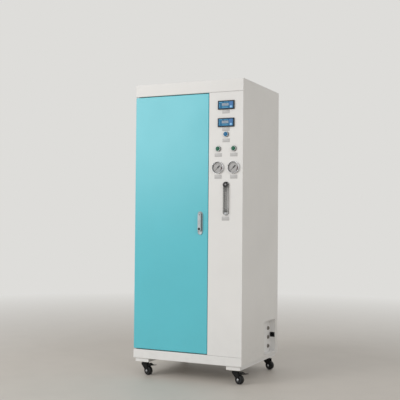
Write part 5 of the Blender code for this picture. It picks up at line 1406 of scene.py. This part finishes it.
    def build_box(self, looks, head):
        """Builds the control box with a lid, lid screws and cable glands."""
        low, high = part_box("control_box")
        grey = moulded("box_grey", looks.enclosure, 0.5, 0.0012, 1.04)
        tray_x, bottom, inset, edge = low.x + 0.012, low.z + 0.011, 0.003, 0.003
        screw_in, gland_pitch = 0.011, 0.0375
        tray = block((tray_x, low.y + inset, bottom + inset),
                     (high.x, high.y - inset, high.z - inset), edge)
        lid = block((low.x + 0.0008, low.y, bottom), (low.x + 0.015, high.y, high.z), edge)
        screws = [lathe(((0.0042, 0), (0.0042, 0.0006), (0.0030, 0.0010)),
                        (low.x + 0.001, y, z), "left", 24)
                  for y in (low.y + screw_in, high.y - screw_in)
                  for z in (bottom + screw_in, high.z - screw_in)]
        seat(together(tray, lid, *screws), "control_box_case", "cabinet", grey, "box_grey",
             "control_box")
        glands = []
        for index in range(3):
            spot = ((tray_x + high.x) / 2, low.y + inset + gland_pitch * (index + 1), low.z)
            glands += [nut(0.009, 0.007, 0.0135, spot),
                       lathe(((0.0055, 0.0), (0.0068, 0.001), (0.0072, 0.007)), spot, "up", 28)]
        seat(together(*glands), "control_box_glands", "cabinet", head, "box_grey")

    def build_tubing(self, looks):
        """Runs the water tubing from pump to filters, tanks and vessel."""
        white = moulded("tube_white", looks.tube, 0.35, 0.0008, 1.02)
        radius, bend = looks.tube_radius, 0.022
        pump_low, pump_high, pump = span("booster_pump")
        pump_top, outlet, inlet = pump_high.z, pump_low.x + PUMP_OUTLET, pump_low.x + PUMP_INLET
        vessel_low, vessel_high, vessel = span("membrane_vessel")
        vessel.y, vessel.z = vessel_high.y - VESSEL_REACH, vessel_high.z
        _, last_high, last = span("third_prefilter")
        heads = []
        for name in TANKS:
            _, high, head = span(name)
            head.z = high.z
            heads.append(head)
        first, second = heads
        inset = 0.004
        link_z, drop_x, drop_y = last_high.z - LINK_DROP, last_high.x + 0.030, last.y - 0.105
        over_pump = pump_top + 0.060
        from_filters = ((last_high.x - 0.003, last.y, link_z), (drop_x, last.y, link_z),
                        (drop_x, drop_y, link_z), (drop_x, drop_y, over_pump),
                        (drop_x, pump.y, over_pump), (inlet, pump.y, over_pump),
                        (inlet, pump.y, pump_top - inset))
        beside, before = vessel.x - 0.075, pump.y - 0.060
        low_run, port_z = pump_top + 0.030, vessel_low.z + VESSEL_PORT_RISE
        to_vessel = ((outlet, pump.y, pump_top - inset), (outlet, pump.y, low_run),
                     (outlet, before, low_run), (beside, before, low_run),
                     (beside, before, port_z), (vessel.x, before, port_z),
                     (vessel.x, vessel.y - 0.078, port_z))
        port, seated, arch = 0.020, 0.003, 0.045
        over_vessel = vessel.z + 0.070
        to_second = ((vessel.x, vessel.y, vessel.z - inset), (vessel.x, vessel.y, over_vessel),
                     (second.x + port, vessel.y, over_vessel),
                     (second.x + port, second.y, over_vessel),
                     (second.x + port, second.y, second.z - seated))
        to_first = ((second.x - port, second.y, second.z - seated),
                    (second.x - port, second.y, second.z + arch),
                    (first.x + port, first.y, first.z + arch),
                    (first.x + port, first.y, first.z - seated))
        runs = (from_filters, to_vessel, to_second, to_first)
        pipes = [pipe(run, radius, bend) for run in runs]
        seat(together(*pipes), "water_tubing", "cabinet", white, "port_grey")


class PURIFIER_OT_stage(bpy.types.Operator):
    """Set the floor, the lamps and the camera"""
    bl_idname = "purifier.stage"
    bl_label = "Set the stage"

    def execute(self, context):
        looks = context.scene.purifier.stage
        context.scene.view_settings.view_transform = "Standard"
        self.build_floor(looks)
        self.light_world(context, looks)
        self.add_lamp("key_lamp", (-2.6, -4.2, 2.4), (0.0, 0.0, 0.8), 2.6, looks.key)
        self.add_lamp("side_lamp", (4.0, -2.6, 2.6), (0.3, 0.0, 1.0), 2.0, looks.rim)
        self.add_camera(context, looks)
        return {"FINISHED"}

    def build_floor(self, looks):
        """Lays the pale floor, which fades into the backdrop away from the cabinet."""
        clear_selection()
        bpy.ops.mesh.primitive_circle_add(vertices=96, radius=30.0, fill_type="NGON")
        floor = bpy.context.active_object
        floor.name = "floor"
        finish = Finish("floor_paint", looks.floor, 0.55)
        mottle = finish.noise(6.0, 4.0)
        finish.tint(shade(looks.floor, 0.96), mottle.step(0.4, 0.8))
        x, y, _ = finish.axes()
        far = ((x * x + y * y) ** 0.5).step(1.2, 5.0)
        glow = finish.node("ShaderNodeEmission", inputs={
            "Color": (*looks.backdrop, 1.0), "Strength": 1.0})
        mixed = finish.node("ShaderNodeMixShader", inputs={
            0: finish.seen_rays() * far, 1: finish.surface.outputs[0], 2: glow})
        output = finish.tree.nodes["Material Output"]
        finish.tree.links.new(mixed, output.inputs["Surface"])
        floor.data.materials.append(finish.material)

    def light_world(self, context, looks):
        """Lights the cabinet from all round, and shows the backdrop behind it."""
        world = bpy.data.worlds.new("studio")
        context.scene.world = world
        world.use_nodes = True
        air = Nodes(world.node_tree)
        lit = air.node("ShaderNodeBackground", inputs={
            "Color": (1.0, 0.995, 0.985, 1.0), "Strength": looks.fill})
        seen = air.node("ShaderNodeBackground", inputs={
            "Color": (*looks.backdrop, 1.0), "Strength": 1.0})
        mixed = air.node("ShaderNodeMixShader", inputs={0: air.seen_rays(), 1: lit, 2: seen})
        air.tree.links.new(mixed, air.tree.nodes["World Output"].inputs["Surface"])

    def add_lamp(self, name, place, target, size, watts):
        """Adds a large soft lamp that points at a target."""
        bpy.ops.object.light_add(type="AREA", location=place)
        lamp = bpy.context.active_object
        lamp.name = name
        lamp.data.shape = "DISK"
        lamp.data.size = size
        lamp.data.energy = watts
        aim = Vector(target) - Vector(place)
        lamp.rotation_euler = aim.to_track_quat("-Z", "Y").to_euler()

    def add_camera(self, context, looks):
        """Sets the camera where the photograph was taken from."""
        bpy.ops.object.camera_add()
        camera = bpy.context.active_object
        camera.data.sensor_width = 36.0
        camera.data.lens = looks.lens
        corner = Vector((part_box("instrument_panel")[1].x, front_face(), 0))
        camera.matrix_world = (Matrix.Translation(corner + CAMERA_OFFSET)
                               @ Matrix.Rotation(math.radians(CAMERA_HEADING), 4, "Z")
                               @ Matrix.Rotation(math.radians(90 + CAMERA_RISE), 4, "X")
                               @ Matrix.Rotation(math.radians(CAMERA_ROLL), 4, "Z"))
        context.scene.camera = camera


OPERATORS = (
    PURIFIER_OT_cabinet,
    PURIFIER_OT_lock,
    PURIFIER_OT_meters,
    PURIFIER_OT_buttons,
    PURIFIER_OT_gauges,
    PURIFIER_OT_flow_meter,
    PURIFIER_OT_labels,
    PURIFIER_OT_casters,
    PURIFIER_OT_connection_bay,
    PURIFIER_OT_water_path,
    PURIFIER_OT_stage,
)


class PURIFIER_PT_looks(bpy.types.Panel):
    """Lists what can be built and its settings."""
    bl_idname = "PURIFIER_PT_looks"
    bl_label = "Water purifier"
    bl_space_type = "VIEW_3D"
    bl_region_type = "UI"
    bl_category = "Purifier"

    def draw(self, context):
        for operator in OPERATORS:
            self.layout.operator(operator.bl_idname)
        for name in GROUPS:
            group = getattr(context.scene.purifier, name)
            box = self.layout.box()
            box.label(text=name.title())
            for setting in GROUPS[name].__annotations__:
                box.prop(group, setting)


CLASSES = (*GROUPS.values(), PurifierLooks, *OPERATORS, PURIFIER_PT_looks)


def register():
    """Registers the settings, operators and panel."""
    for cls in CLASSES:
        bpy.utils.register_class(cls)
    bpy.types.Scene.purifier = bpy.props.PointerProperty(type=PurifierLooks)


def unregister():
    """Removes them again."""
    del bpy.types.Scene.purifier
    for cls in reversed(CLASSES):
        bpy.utils.unregister_class(cls)


def main():
    """Builds every part in order."""
    register()
    bpy.ops.purifier.cabinet()
    bpy.ops.purifier.lock()
    bpy.ops.purifier.meters()
    bpy.ops.purifier.buttons()
    bpy.ops.purifier.gauges()
    bpy.ops.purifier.flow_meter()
    bpy.ops.purifier.labels()
    bpy.ops.purifier.casters()
    bpy.ops.purifier.connection_bay()
    bpy.ops.purifier.water_path()
    bpy.ops.purifier.stage()
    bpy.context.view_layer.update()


if __name__ == "__main__":
    main()
